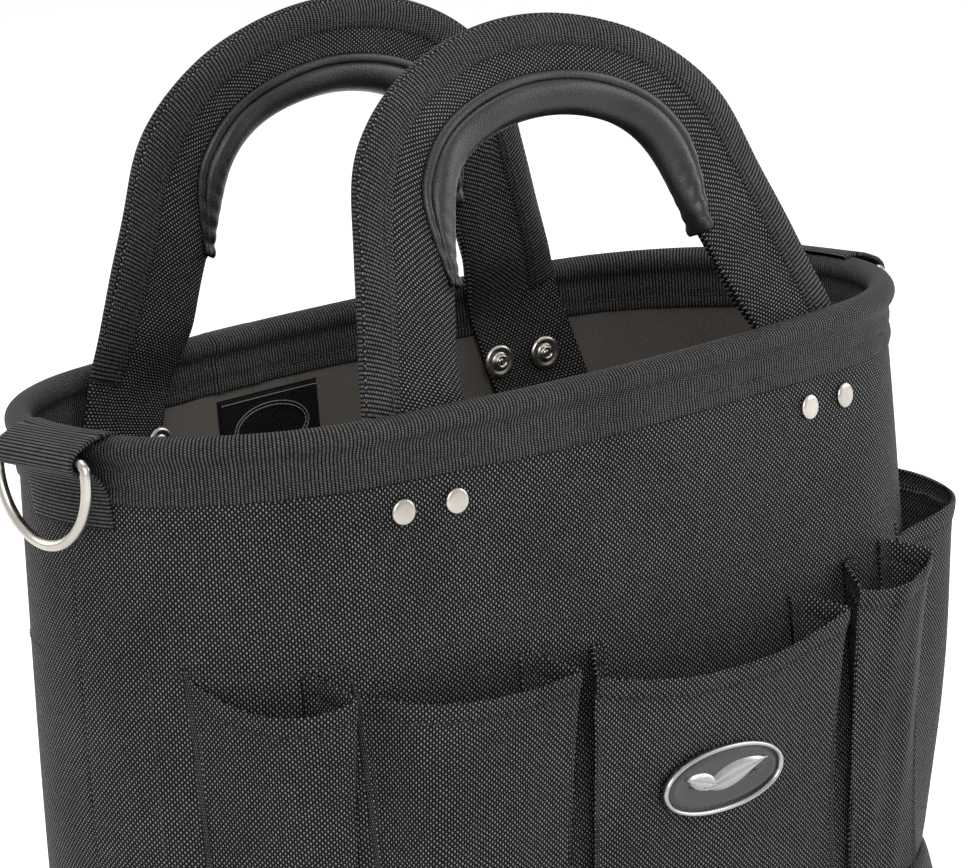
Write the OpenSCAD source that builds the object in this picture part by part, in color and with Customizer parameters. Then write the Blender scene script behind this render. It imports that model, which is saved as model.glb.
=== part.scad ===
// Open-topped garden tool bag: an oval fabric tub with a hooped rim, two padded
// arch handles, carry rings at the ends and pleated pockets round the outside.
// Millimetres. Origin at the centre of the base's underside, +Z up, front on -Y.

/* [Bag body] */
// Length of the bag over the rim roll, end to end
bag_length = 400; // [340:5:460]
// Depth of the bag over the rim roll, front to back
bag_depth = 214; // [190:2:240]
// Height from the underside to the top of the rim roll
bag_height = 330; // [280:5:380]
// Plan radius of the rounded ends, at the rim roll
end_radius = 98; // [80:1:100]

/* [Rim] */
// Diameter of the rolled rim
roll_d = 11; // [9:0.5:13]
// Diameter of the hoop inside the roll
hoop_d = 5; // [3:0.5:6]
// Height of the binding webbing below the roll's middle
band_drop = 20; // [14:1:28]

/* [Handles] */
// Half width of a handle's outline at the rim
handle_half_width = 119; // [105:1:125]
// Height of a handle above the rim
handle_height = 130; // [110:1:150]
// Width of a handle's leg
leg_width = 45; // [40:1:55]
// Thickness of a padded handle
handle_thickness = 8; // [6:0.5:9]
// Distance of the handles' feet from the middle of the bag
handle_foot_y = 81; // [76:0.5:82]
// Inward lean of the front handle at rest
front_lean = 17.5; // [5:0.5:20]
// Inward lean of the rear handle at rest
rear_lean = 5; // [0:0.5:20]

/* [Carry rings] */
// Width of the webbing loop that holds a ring
strap_width = 48; // [40:1:48]
// Inside width of a ring
ring_inside = 50; // [50:1:54]
// Wire diameter of a ring
ring_wire = 4.4; // [3:0.2:5]

/* [Pockets] */
// Height of the pocket mouths above the ground
pocket_top = 220; // [190:5:240]
// Height of the seam under the pockets
pocket_floor = 94; // [70:2:110]
// How far a front or rear pocket stands off the wall
pocket_depth = 16; // [10:1:18]
// How far the end pocket stands off the wall
end_pocket_depth = 22; // [16:1:26]

/* [Hidden] */
$fn = 96;

half_length = bag_length / 2;
half_depth = bag_depth / 2;
roll_r = roll_d / 2;
roll_z = bag_height - roll_r;
end_centre_x = half_length - end_radius;
// Radius of the long sides' slight bulge, tangent to the rounded ends.
side_radius = (pow(end_centre_x, 2) + pow(half_depth, 2) - pow(end_radius, 2))
              / (2 * (half_depth - end_radius));
eps = 0.01;

// Wall layers, as insets from the rim roll's outline.
wall_outer = 4;
shell_inner = 5.5;
board_inner = 7.5;
lining_inner = 8.5;
band_thickness = 1;
wall_top = bag_height - roll_d - 0.05;
cover_thickness = 3;
board_top = 7;
lining_floor = 8;
binding_bottom = roll_z - band_drop;
roll_steps = 7;
rod_steps = 5;
hoop_room = hoop_d / 2 + 0.05;

// Boot round the foot of the bag.
boot_outer = -2;
boot_top = pocket_floor - 2;
piping_r = 2;
piping_z = cover_thickness + piping_r + 0.05;

// Handle legs and rivets.
pivot_z = bag_height + 4;
crossing_gap = 4;
leg_flare = 0.3;
straight_height = 64;
arch_power = 1.92;
binding_width = 15;
binding_thickness = 0.8;
core_thickness = handle_thickness / 2;
grip_width = 18;
grip_thickness = 1;
grip_start = 50;
tab_thickness = 5.5;
tab_outer = lining_inner + band_thickness + 0.1;
tab_inner = tab_outer + tab_thickness;
tab_bottom = bag_height - 60;
tab_top = pivot_z - 3;
rivet_z = bag_height - 36;
rivet_x = [92, 115];
cap_r = 5;
cap_height = 2;
shank_r = 2;
washer_r = 7;
washer_height = 1.6;
tube_r = 3;
tube_bore_r = 1.7;
tube_height = 2.6;
// Gap between a washer and the curved fabric under it.
washer_gap = 0.4;

// Carry rings and their loops.
ring_r = ring_inside / 2 + ring_wire / 2;
ring_straight = 6;
bar_x = half_length + 7;
bar_z = bag_height - 8;
bar_hole_r = ring_wire / 2 + 0.3;
loop_nose_r = 5;
tail_bottom = bag_height - 35;
tail_thickness = 2;

pocket_wall = 1.5;
end_pocket_y = 72;
// Plan limits, [first x, last x], of each front pocket.
pocket_1 = [-186, -143];
pocket_2 = [-138, -54];
pocket_3 = [-48, 88];
pocket_4 = [94, 146];
// Plan limits of the rear pockets.
rear_1 = [-150, -62];
rear_2 = [-57, 57];
rear_3 = [62, 150];

inner_pocket_outer = 15;
inner_pocket_half = 108;
inner_pocket_top = 225;
patch_size = [54, 30];
patch_x = -24;
patch_z = bag_height - 43;
badge_size = [66, 30];
badge_x = 15;
badge_z = bag_height - 165;
badge_rim_width = 2.2;
badge_height = 2.4;

// Four-arc oval plan of the bag, drawn inset from the rim roll's outline.
module oval(inset) {
    r_end = end_radius - inset;
    r_side = side_radius - inset;
    side_shift = r_side - (half_depth - inset);
    cut_x = end_centre_x * r_side / (r_side - r_end);
    for (s = [-1, 1]) translate([s * end_centre_x, 0]) circle(r_end);
    intersection() {
        translate([0, side_shift]) circle(r_side, $fn = 720);
        translate([0, -side_shift]) circle(r_side, $fn = 720);
        square([2 * cut_x, bag_depth - 2 * inset], center = true);
    }
}

// Upright ring of wall between two insets.
module wall_ring(outer, inner, z0, z1) {
    translate([0, 0, z0])
        difference() {
            linear_extrude(z1 - z0) oval(outer);
            translate([0, 0, -1]) linear_extrude(z1 - z0 + 2) oval(inner);
        }
}

// Round rod that follows the oval plan, its section a stack of level steps.
module oval_rod(inset, r, z, steps) {
    for (i = [0 : steps - 1])
        let (z0 = r * (2 * i / steps - 1),
             z1 = r * (2 * (i + 1) / steps - 1),
             half = sqrt(pow(r, 2) - pow((z0 + z1) / 2, 2)))
        wall_ring(inset - half, inset + half, z + z0 - eps, z + z1);
}

// Depth of the oval plan at a given x on the long side.
function side_y(x, inset) =
    sqrt(pow(side_radius - inset, 2) - x * x) - (side_radius - half_depth);

// Puts its children at each rivet, with +Z pointing out through the wall.
module at_rivets() {
    for (face = [0, 180], side = [-1, 1], x = rivet_x)
        rotate([0, 0, face])
            translate([side * x, -side_y(x, wall_outer), rivet_z])
                rotate([0, 0, asin(side * x / side_radius)])
                    rotate([90, 0, 0]) children();
}

module rivet_bores() {
    at_rivets() translate([0, 0, -tab_inner]) cylinder(r = shank_r, h = tab_inner + cap_height);
}

// ---- Base ----
module base_cover() {
    color([0.07, 0.07, 0.07]) linear_extrude(cover_thickness) oval(boot_outer + 1);
}

module base_panel() {
    color([0.25, 0.22, 0.18])
        translate([0, 0, cover_thickness])
            linear_extrude(board_top - cover_thickness) oval(board_inner + 0.2);
}

module base_boot() {
    color([0.11, 0.11, 0.11])
        wall_ring(boot_outer, wall_outer, piping_z + piping_r + eps, boot_top);
}

module boot_piping() {
    color([0.05, 0.05, 0.05]) oval_rod(boot_outer + piping_r, piping_r, piping_z, rod_steps);
}

// ---- Wall ----
module body_shell() {
    color([0.13, 0.13, 0.13])
        difference() {
            wall_ring(wall_outer, shell_inner, cover_thickness, wall_top);
            rivet_bores();
        }
}

module wall_stiffener() {
    color([0.3, 0.3, 0.3])
        difference() {
            wall_ring(shell_inner, board_inner, cover_thickness, wall_top);
            rivet_bores();
        }
}

module lining() {
    color([0.3, 0.28, 0.26])
        difference() {
            union() {
                wall_ring(board_inner, lining_inner, board_top, wall_top);
                translate([0, 0, board_top])
                    linear_extrude(lining_floor - board_top) oval(lining_inner - 0.5);
            }
            rivet_bores();
        }
}

// ---- Rim ----
module rim_hoop() {
    color([0.5, 0.5, 0.5]) oval_rod(roll_r, hoop_d / 2, roll_z, rod_steps);
}

module rim_binding() {
    color([0.1, 0.1, 0.1]) difference() {
        oval_rod(roll_r, roll_r, roll_z, roll_steps);
        wall_ring(roll_r - hoop_room, roll_r + hoop_room, roll_z - hoop_room, roll_z + hoop_room);
    }
}

// The binding's two edges, sewn down outside and inside the wall.
module rim_bands() {
    color([0.1, 0.1, 0.1]) {
        wall_ring(wall_outer - band_thickness, wall_outer - eps, binding_bottom, wall_top);
        wall_ring(lining_inner + eps, lining_inner + band_thickness, binding_bottom, wall_top);
    }
}

// ---- Handle feet, riveted inside the wall ----
// The two feet of the front handle; the legs keep spreading below the rim.
module leg_tabs() {
    spread = leg_flare * (bag_height - tab_bottom);
    inner_x = handle_half_width - leg_width;
    difference() {
        intersection() {
            wall_ring(tab_outer, tab_inner, tab_bottom, tab_top);
            for (side = [0, 1]) mirror([side, 0, 0])
                rotate([90, 0, 0]) linear_extrude(half_depth)
                    polygon([[inner_x, tab_top], [handle_half_width, tab_top],
                             [handle_half_width + spread, tab_bottom],
                             [inner_x + spread, tab_bottom]]);
        }
        // The rim roll bulges inwards past the tabs' outer face.
        oval_rod(roll_r, roll_r + 0.1, roll_z, roll_steps);
        rivet_bores();
    }
}

module front_leg_tabs() {
    color([0.12, 0.12, 0.12]) leg_tabs();
}

module rear_leg_tabs() {
    color([0.12, 0.12, 0.12]) rotate([0, 0, 180]) leg_tabs();
}

// ---- Rivets ----
module rivet_caps() {
    color([0.8, 0.78, 0.74]) at_rivets() {
        cylinder(r = cap_r, h = cap_height);
        translate([0, 0, wall_outer - tab_inner]) cylinder(r = shank_r, h = tab_inner - wall_outer + eps);
    }
}

module rivet_washers() {
    color([0.8, 0.78, 0.74]) at_rivets()
        translate([0, 0, wall_outer - tab_inner - tube_height - washer_gap])
            difference() {
                union() {
                    translate([0, 0, tube_height - washer_height]) cylinder(r = washer_r, h = washer_height);
                    cylinder(r = tube_r, h = tube_height);
                }
                translate([0, 0, -1]) cylinder(r = tube_bore_r, h = tube_height + 1 - 0.4);
            }
}

// ---- Carry rings ----
// Webbing folded round a ring's bar, sewn to the wall under the rim (right end).
module strap_loop() {
    difference() {
        union() {
            translate([0, strap_width / 2, 0]) rotate([90, 0, 0]) linear_extrude(strap_width) {
                polygon([[half_length - 9, bag_height + 2], [half_length + 3, bag_height + 2],
                         [half_length + 10, bag_height - 2], [bar_x + loop_nose_r, bar_z],
                         [bar_x, bar_z - loop_nose_r], [half_length - 4, bar_z - 8]]);
                translate([bar_x, bar_z]) circle(loop_nose_r);
            }
            intersection() {
                wall_ring(wall_outer - band_thickness - tail_thickness, wall_outer - band_thickness,
                          tail_bottom, bar_z - 6);
                translate([end_centre_x, -strap_width / 2, 0]) cube([bag_length, strap_width, bag_height]);
            }
        }
        rotate([90, 0, 0]) translate([bar_x, bar_z, -strap_width]) cylinder(r = bar_hole_r, h = 2 * strap_width);
        translate([0, 0, wall_top]) linear_extrude(bag_height) oval(0);
        linear_extrude(bag_height) oval(wall_outer - band_thickness);
    }
}

module right_strap_loop() {
    color([0.1, 0.1, 0.1]) strap_loop();
}

module left_strap_loop() {
    color([0.1, 0.1, 0.1]) mirror([1, 0, 0]) strap_loop();
}

// Wire ring with a straight bar through the loop, hanging down (right end).
module d_ring() {
    translate([bar_x, 0, bar_z]) {
        rotate([90, 0, 0]) cylinder(r = ring_wire / 2, h = 2 * ring_r, center = true);
        for (side = [-1, 1]) translate([0, side * ring_r, -ring_straight]) {
            cylinder(r = ring_wire / 2, h = ring_straight);
            translate([0, 0, ring_straight]) sphere(r = ring_wire / 2);
        }
        translate([0, 0, -ring_straight]) rotate([0, 90, 0]) rotate([0, 0, -90])
            rotate_extrude(angle = 180) translate([ring_r, 0]) circle(r = ring_wire / 2, $fn = 48);
    }
}

module right_d_ring() {
    color([0.75, 0.73, 0.7]) d_ring();
}

module left_d_ring() {
    color([0.75, 0.73, 0.7]) mirror([1, 0, 0]) d_ring();
}

// ---- Pockets ----
// Plan area of the front half between two x limits.
module front_slot(x0, x1) {
    translate([x0, -bag_depth]) square([x1 - x0, bag_depth]);
}

// Open-topped pocket standing off the wall, over the plan area of its child.
module pocket(x0, x1, depth) {
    translate([0, 0, pocket_floor]) {
        difference() {
            linear_extrude(pocket_top - pocket_floor) difference() {
                intersection() {
                    oval(wall_outer - depth);
                    front_slot(x0, x1);
                }
                oval(wall_outer);
            }
            translate([0, 0, pocket_wall]) linear_extrude(pocket_top) intersection() {
                oval(wall_outer - depth + pocket_wall);
                front_slot(x0 + pocket_wall, x1 - pocket_wall);
            }
        }
    }
}

module front_pocket_left() {
    color([0.14, 0.14, 0.14]) pocket(pocket_1[0], pocket_1[1], pocket_depth);
}

module front_pocket_mid() {
    color([0.14, 0.14, 0.14]) pocket(pocket_2[0], pocket_2[1], pocket_depth);
}

module front_pocket_centre() {
    color([0.14, 0.14, 0.14]) pocket(pocket_3[0], pocket_3[1], pocket_depth);
}

module front_pocket_right() {
    color([0.14, 0.14, 0.14]) pocket(pocket_4[0], pocket_4[1], pocket_depth);
}

module rear_pocket_left() {
    color([0.14, 0.14, 0.14]) mirror([0, 1, 0]) pocket(rear_1[0], rear_1[1], pocket_depth);
}

module rear_pocket_centre() {
    color([0.14, 0.14, 0.14]) mirror([0, 1, 0]) pocket(rear_2[0], rear_2[1], pocket_depth);
}

module rear_pocket_right() {
    color([0.14, 0.14, 0.14]) mirror([0, 1, 0]) pocket(rear_3[0], rear_3[1], pocket_depth);
}

// Deep pocket round the right end.
module end_pocket() {
    color([0.14, 0.14, 0.14]) translate([0, 0, pocket_floor])
        difference() {
            linear_extrude(pocket_top - pocket_floor) difference() {
                intersection() {
                    oval(wall_outer - end_pocket_depth);
                    translate([end_centre_x, -end_pocket_y]) square([bag_length, 2 * end_pocket_y]);
                }
                oval(wall_outer);
            }
            translate([0, 0, pocket_wall]) linear_extrude(pocket_top) intersection() {
                oval(wall_outer - end_pocket_depth + pocket_wall);
                translate([end_centre_x, pocket_wall - end_pocket_y])
                    square([bag_length, 2 * (end_pocket_y - pocket_wall)]);
            }
        }
}

// Flat pocket on the lining of the front wall, sewn at its sides and foot.
module inner_pocket() {
    difference() {
        translate([0, 0, lining_floor]) linear_extrude(inner_pocket_top - lining_floor)
            difference() {
                intersection() {
                    oval(lining_inner);
                    front_slot(-inner_pocket_half, inner_pocket_half);
                }
                oval(inner_pocket_outer + pocket_wall);
            }
        translate([0, 0, lining_floor + pocket_wall]) linear_extrude(inner_pocket_top)
            difference() {
                intersection() {
                    oval(lining_inner - 1);
                    front_slot(pocket_wall - inner_pocket_half, inner_pocket_half - pocket_wall);
                }
                oval(inner_pocket_outer);
            }
    }
}

module inner_pocket_front() {
    color([0.3, 0.28, 0.26]) inner_pocket();
}

module inner_pocket_rear() {
    color([0.3, 0.28, 0.26]) mirror([0, 1, 0]) inner_pocket();
}

// ---- Trim ----
module inner_patch() {
    color([0.06, 0.06, 0.06])
        intersection() {
            wall_ring(lining_inner + band_thickness + eps, lining_inner + 2 * band_thickness,
                      patch_z - patch_size[1] / 2, patch_z + patch_size[1] / 2);
            translate([patch_x - patch_size[0] / 2, 0, 0]) cube([patch_size[0], half_depth, bag_height]);
        }
}

// Oval outline of the badge, made of two arcs with round ends.
module badge_outline(grow) {
    half_w = badge_size[0] / 2 + grow;
    half_h = badge_size[1] / 2 + grow;
    tip_r = half_h / 2;
    tip_x = half_w - tip_r;
    arc_r = (pow(tip_x, 2) + pow(half_h, 2) - pow(tip_r, 2)) / (2 * (half_h - tip_r));
    cut_x = tip_x * arc_r / (arc_r - tip_r);
    for (s = [-1, 1]) translate([s * tip_x, 0]) circle(tip_r);
    intersection() {
        translate([0, arc_r - half_h]) circle(arc_r, $fn = 360);
        translate([0, half_h - arc_r]) circle(arc_r, $fn = 360);
        square([2 * cut_x, 2 * half_h], center = true);
    }
}

module at_badge() {
    translate([badge_x, -side_y(badge_x, wall_outer - pocket_depth), badge_z])
        rotate([0, 0, asin(badge_x / side_radius)])
            rotate([90, 0, 0]) children();
}

module badge_plate() {
    color([0.2, 0.2, 0.2]) at_badge()
        linear_extrude(badge_height - 0.8) badge_outline(-badge_rim_width);
}

module badge_rim() {
    color([0.75, 0.75, 0.75]) at_badge()
        linear_extrude(badge_height) difference() {
            badge_outline(0);
            badge_outline(-badge_rim_width);
        }
}

// ---- Handles ----
// Half outline of an arch: a spreading leg, then a rounded shoulder up to the top.
function arch_half(foot, top, low) =
    let (shoulder = foot - leg_flare * straight_height, steps = 20)
    concat([[foot - leg_flare * low, low]],
           [for (i = [0 : steps])
               let (a = 90 * i / steps)
               [shoulder * pow(cos(a), 2 / arch_power),
                straight_height + (top - straight_height) * pow(sin(a), 2 / arch_power)]]);

module arch_area(foot, top, low) {
    right = arch_half(foot, top, low);
    polygon(concat(right, [for (i = [len(right) - 2 : -1 : 0]) [-right[i][0], right[i][1]]]));
}

// Arch band from outline a to outline b, where each is inset from the outer edge.
module arch_band(outer_inset, inner_inset, low) {
    difference() {
        arch_area(handle_half_width - outer_inset, handle_height - outer_inset * 0.8, low);
        translate([0, -eps])
            arch_area(handle_half_width - inner_inset, handle_height - inner_inset * 0.84, low);
    }
}

// Stands a flat handle piece up over the front foot line, leaning inwards.
module stand(lean) {
    translate([0, -handle_foot_y, pivot_z]) rotate([90 - lean, 0, 0]) children();
}

module slab(t) {
    translate([0, 0, -t / 2]) linear_extrude(t) children();
}

module handle_core() {
    slab(core_thickness) arch_band(4, leg_width - 4, crossing_gap + 2);
}

module handle_cover() {
    difference() {
        slab(handle_thickness) arch_band(0, leg_width, crossing_gap);
        slab(core_thickness) arch_band(4, leg_width - 4, crossing_gap + 2);
    }
}

module handle_binding() {
    difference() {
        slab(handle_thickness + 2 * binding_thickness)
            arch_band(-binding_thickness, binding_width, crossing_gap);
        slab(handle_thickness) arch_band(0, leg_width, crossing_gap - 1);
    }
}

module handle_grip() {
    difference() {
        slab(handle_thickness + 2 * grip_thickness) intersection() {
            arch_band(leg_width - grip_width, leg_width + grip_thickness, crossing_gap);
            translate([-bag_length / 2, grip_start]) square([bag_length, handle_height]);
        }
        slab(handle_thickness) arch_band(0, leg_width, crossing_gap);
    }
}

module front_handle_core() {
    color([0.4, 0.4, 0.4]) stand(front_lean) handle_core();
}

module front_handle_cover() {
    color([0.13, 0.13, 0.13]) stand(front_lean) handle_cover();
}

module front_handle_binding() {
    color([0.1, 0.1, 0.1]) stand(front_lean) handle_binding();
}

module front_handle_grip() {
    color([0.18, 0.18, 0.18]) stand(front_lean) handle_grip();
}

module rear_handle_core() {
    color([0.4, 0.4, 0.4]) mirror([0, 1, 0]) stand(rear_lean) handle_core();
}

module rear_handle_cover() {
    color([0.13, 0.13, 0.13]) mirror([0, 1, 0]) stand(rear_lean) handle_cover();
}

module rear_handle_binding() {
    color([0.1, 0.1, 0.1]) mirror([0, 1, 0]) stand(rear_lean) handle_binding();
}

module rear_handle_grip() {
    color([0.18, 0.18, 0.18]) mirror([0, 1, 0]) stand(rear_lean) handle_grip();
}

base_cover();
base_panel();
base_boot();
boot_piping();
body_shell();
wall_stiffener();
lining();
rim_hoop();
rim_binding();
rim_bands();
front_leg_tabs();
rear_leg_tabs();
rivet_caps();
rivet_washers();
left_strap_loop();
right_strap_loop();
front_pocket_left();
front_pocket_mid();
front_pocket_centre();
front_pocket_right();
end_pocket();
rear_pocket_left();
rear_pocket_centre();
rear_pocket_right();
inner_pocket_rear();
inner_pocket_front();
inner_patch();
badge_plate();
badge_rim();
front_handle_core();
front_handle_cover();
front_handle_binding();
front_handle_grip();
rear_handle_core();
rear_handle_cover();
rear_handle_binding();
rear_handle_grip();
left_d_ring();
right_d_ring();
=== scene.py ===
import math

import bpy
import numpy as np
from mathutils import Matrix, Vector


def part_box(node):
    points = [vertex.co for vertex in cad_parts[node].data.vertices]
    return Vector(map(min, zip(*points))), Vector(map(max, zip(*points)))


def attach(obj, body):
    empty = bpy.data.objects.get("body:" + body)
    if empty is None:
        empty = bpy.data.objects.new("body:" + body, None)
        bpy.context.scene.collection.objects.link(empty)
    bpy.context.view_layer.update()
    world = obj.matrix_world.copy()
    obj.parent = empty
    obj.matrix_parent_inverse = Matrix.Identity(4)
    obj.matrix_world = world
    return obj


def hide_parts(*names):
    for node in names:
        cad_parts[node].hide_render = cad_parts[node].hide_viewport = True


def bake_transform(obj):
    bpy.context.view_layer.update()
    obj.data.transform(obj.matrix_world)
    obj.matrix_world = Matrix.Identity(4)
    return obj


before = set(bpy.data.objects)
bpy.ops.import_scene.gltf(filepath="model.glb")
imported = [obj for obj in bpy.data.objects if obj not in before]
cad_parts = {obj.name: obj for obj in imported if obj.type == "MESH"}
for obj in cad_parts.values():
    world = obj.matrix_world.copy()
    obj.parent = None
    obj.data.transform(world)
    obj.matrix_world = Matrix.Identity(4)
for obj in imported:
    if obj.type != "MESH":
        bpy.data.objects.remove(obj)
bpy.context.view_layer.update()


# ---- Studio -----------------------------------------------------------------
# A pale floor and a pale surround, lit by large soft lamps. The camera stands
# in front and to the left, a little above the rim, with a long lens.
rim_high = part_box("rim_binding")[1]
RIM_Z = rim_high.z
CAMERA_PLACE = Vector((-1.269, -1.501, RIM_Z + 0.381))
CAMERA_YAW = math.radians(40.37)
CAMERA_PITCH = math.radians(12.1)
CAMERA_ROLL = math.radians(-4.27)
CAMERA_LENS = 189.6

ahead = Vector((
    math.sin(CAMERA_YAW) * math.cos(CAMERA_PITCH),
    math.cos(CAMERA_YAW) * math.cos(CAMERA_PITCH),
    -math.sin(CAMERA_PITCH),
))
level_right = Vector((math.cos(CAMERA_YAW), -math.sin(CAMERA_YAW), 0))
level_up = level_right.cross(ahead)
turned_right = level_right * math.cos(CAMERA_ROLL) + level_up * math.sin(CAMERA_ROLL)
turned_up = -level_right * math.sin(CAMERA_ROLL) + level_up * math.cos(CAMERA_ROLL)
camera_axes = Matrix((turned_right, turned_up, -ahead)).transposed().to_4x4()
camera = bpy.data.objects.new("camera", bpy.data.cameras.new("camera"))
bpy.context.collection.objects.link(camera)
camera.matrix_world = Matrix.Translation(CAMERA_PLACE) @ camera_axes
camera.data.lens = CAMERA_LENS
camera.data.clip_end = 50
bpy.context.scene.camera = camera


def add_lamp(name, place, size, watts):
    """A square soft lamp that faces the middle of the bag."""
    lamp = bpy.data.objects.new(name, bpy.data.lights.new(name, "AREA"))
    lamp.data.shape = "SQUARE"
    lamp.data.size = size
    lamp.data.energy = watts
    aim = Vector((0, 0, 0.25)) - Vector(place)
    lamp.matrix_world = Matrix.Translation(place) @ aim.to_track_quat("-Z", "Y").to_matrix().to_4x4()
    bpy.context.collection.objects.link(lamp)


add_lamp("key_lamp", (-1.6, -2.2, 1.7), 1.6, 60)
add_lamp("fill_lamp", (2.4, -1.2, 1.2), 1.8, 34)
add_lamp("top_lamp", (0.2, 0.3, 2.6), 1.6, 26)
add_lamp("back_lamp", (-1.2, 2.4, 1.6), 1.8, 30)

world = bpy.data.worlds.new("pale_room")
world.use_nodes = True
world.node_tree.nodes["Background"].inputs["Color"].default_value = (1, 1, 1, 1)
world.node_tree.nodes["Background"].inputs["Strength"].default_value = 0.95
bpy.context.scene.world = world
bpy.context.scene.view_settings.view_transform = "Standard"

floor_mesh = bpy.data.meshes.new("floor")
FLOOR_HALF = 6.0
floor_mesh.from_pydata(
    [(-FLOOR_HALF, -FLOOR_HALF, 0), (FLOOR_HALF, -FLOOR_HALF, 0),
     (FLOOR_HALF, FLOOR_HALF, 0), (-FLOOR_HALF, FLOOR_HALF, 0)], [], [(0, 1, 2, 3)])
floor = bpy.data.objects.new("floor", floor_mesh)
bpy.context.collection.objects.link(floor)
floor_paint = bpy.data.materials.new("pale_floor")
floor_paint.use_nodes = True
floor_paint.node_tree.nodes["Principled BSDF"].inputs["Base Color"].default_value = (0.93, 0.93, 0.93, 1)
floor_paint.node_tree.nodes["Principled BSDF"].inputs["Roughness"].default_value = 0.7
floor_mesh.materials.append(floor_paint)


# ---- Outer wall ---------------------------------------------------------------
# The tub is one tall piece of heavy basket-weave polyester, laminated to a board
# and sewn end to end. Its plan is an oval: two round ends and two sides that
# bulge a little. It is hung from the rim, so it sags softly between its seams.
HALF_LENGTH = rim_high.x
HALF_DEPTH = rim_high.y
END_RADIUS = 0.098
END_X = HALF_LENGTH - END_RADIUS
SIDE_RADIUS = (END_X**2 + HALF_DEPTH**2 - END_RADIUS**2) / (2 * (HALF_DEPTH - END_RADIUS))
SIDE_TURN = math.asin(END_X / (SIDE_RADIUS - END_RADIUS))
END_TURN = math.pi - 2 * SIDE_TURN
SIDE_ARC = 2 * SIDE_TURN * SIDE_RADIUS
END_ARC = END_TURN * END_RADIUS
GIRTH = 2 * (SIDE_ARC + END_ARC)
WALL_INSET = 0.004


def plan_point(s, inset):
    """Points of the oval at arc length s from the front's middle, towards +X, and
    their outward normals. inset moves them in from the rim roll's outline."""
    s = np.mod(np.asarray(s, float) + SIDE_ARC / 2, GIRTH)
    half = s >= SIDE_ARC + END_ARC
    s = np.where(half, s - SIDE_ARC - END_ARC, s)
    on_side = s < SIDE_ARC
    turn = np.where(on_side, s / SIDE_RADIUS - SIDE_TURN, SIDE_TURN + (s - SIDE_ARC) / END_RADIUS)
    nx, ny = np.sin(turn), -np.cos(turn)
    r = np.where(on_side, SIDE_RADIUS, END_RADIUS) - inset
    cx = np.where(on_side, 0, END_X)
    cy = np.where(on_side, SIDE_RADIUS - HALF_DEPTH, 0)
    x, y = cx + r * nx, cy + r * ny
    flip = np.where(half, -1, 1)
    return x * flip, y * flip, nx * flip, ny * flip


def arc_at_x(x, front=True):
    """Arc length along the front (or the rear) at which the rim's outline has this x."""
    steps = np.linspace(-GIRTH / 4, GIRTH / 4, 2001)
    s = float(np.interp(x, plan_point(steps, 0)[0], steps))
    return s if front else GIRTH / 2 - s


def make_piece(name, points, faces, uvs=None, material=None):
    """A mesh object from points, faces and one (u, v) for each point."""
    mesh = bpy.data.meshes.new(name)
    mesh.from_pydata([tuple(p) for p in points], [], faces)
    if uvs is not None:
        layer = mesh.uv_layers.new(name="cloth")
        corner = np.zeros(len(mesh.loops), np.int32)
        mesh.loops.foreach_get("vertex_index", corner)
        layer.data.foreach_set("uv", np.asarray(uvs, np.float32)[corner].ravel())
    mesh.polygons.foreach_set("use_smooth", [True] * len(mesh.polygons))
    if material is not None:
        mesh.materials.append(material)
    piece = bpy.data.objects.new(name, mesh)
    bpy.context.collection.objects.link(piece)
    return piece


def grid_faces(rows, columns, wrap=False, flip=False, first=0):
    """Quads over a grid of points stored row by row."""
    faces = []
    for i in range(rows - 1):
        for j in range(columns if wrap else columns - 1):
            k = (j + 1) % columns
            quad = (first + i * columns + j, first + i * columns + k,
                    first + (i + 1) * columns + k, first + (i + 1) * columns + j)
            faces.append(quad[::-1] if flip else quad)
    return faces


def thicken(piece, thickness):
    """Gives a piece its cloth's thickness, inwards from its faces."""
    wall = piece.modifiers.new("thickness", "SOLIDIFY")
    wall.thickness = thickness
    wall.offset = -1


def cloth_grid(name, points, u, v, material, thickness=0.0, flip=False):
    """A piece of cloth from a grid of points (rows, columns, 3), thickened inwards."""
    rows, columns = points.shape[:2]
    uv = np.stack([u, v], -1).reshape(-1, 2)
    piece = make_piece(name, points.reshape(-1, 3), grid_faces(rows, columns, flip=flip), uv, material)
    if thickness:
        thicken(piece, thickness)
    return piece


def apply_modifiers(piece):
    """Turns a piece's modifiers into plain mesh."""
    bpy.context.view_layer.update()
    evaluated = piece.evaluated_get(bpy.context.evaluated_depsgraph_get())
    mesh = bpy.data.meshes.new_from_object(evaluated)
    piece.modifiers.clear()
    piece.data = mesh
    return piece


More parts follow.
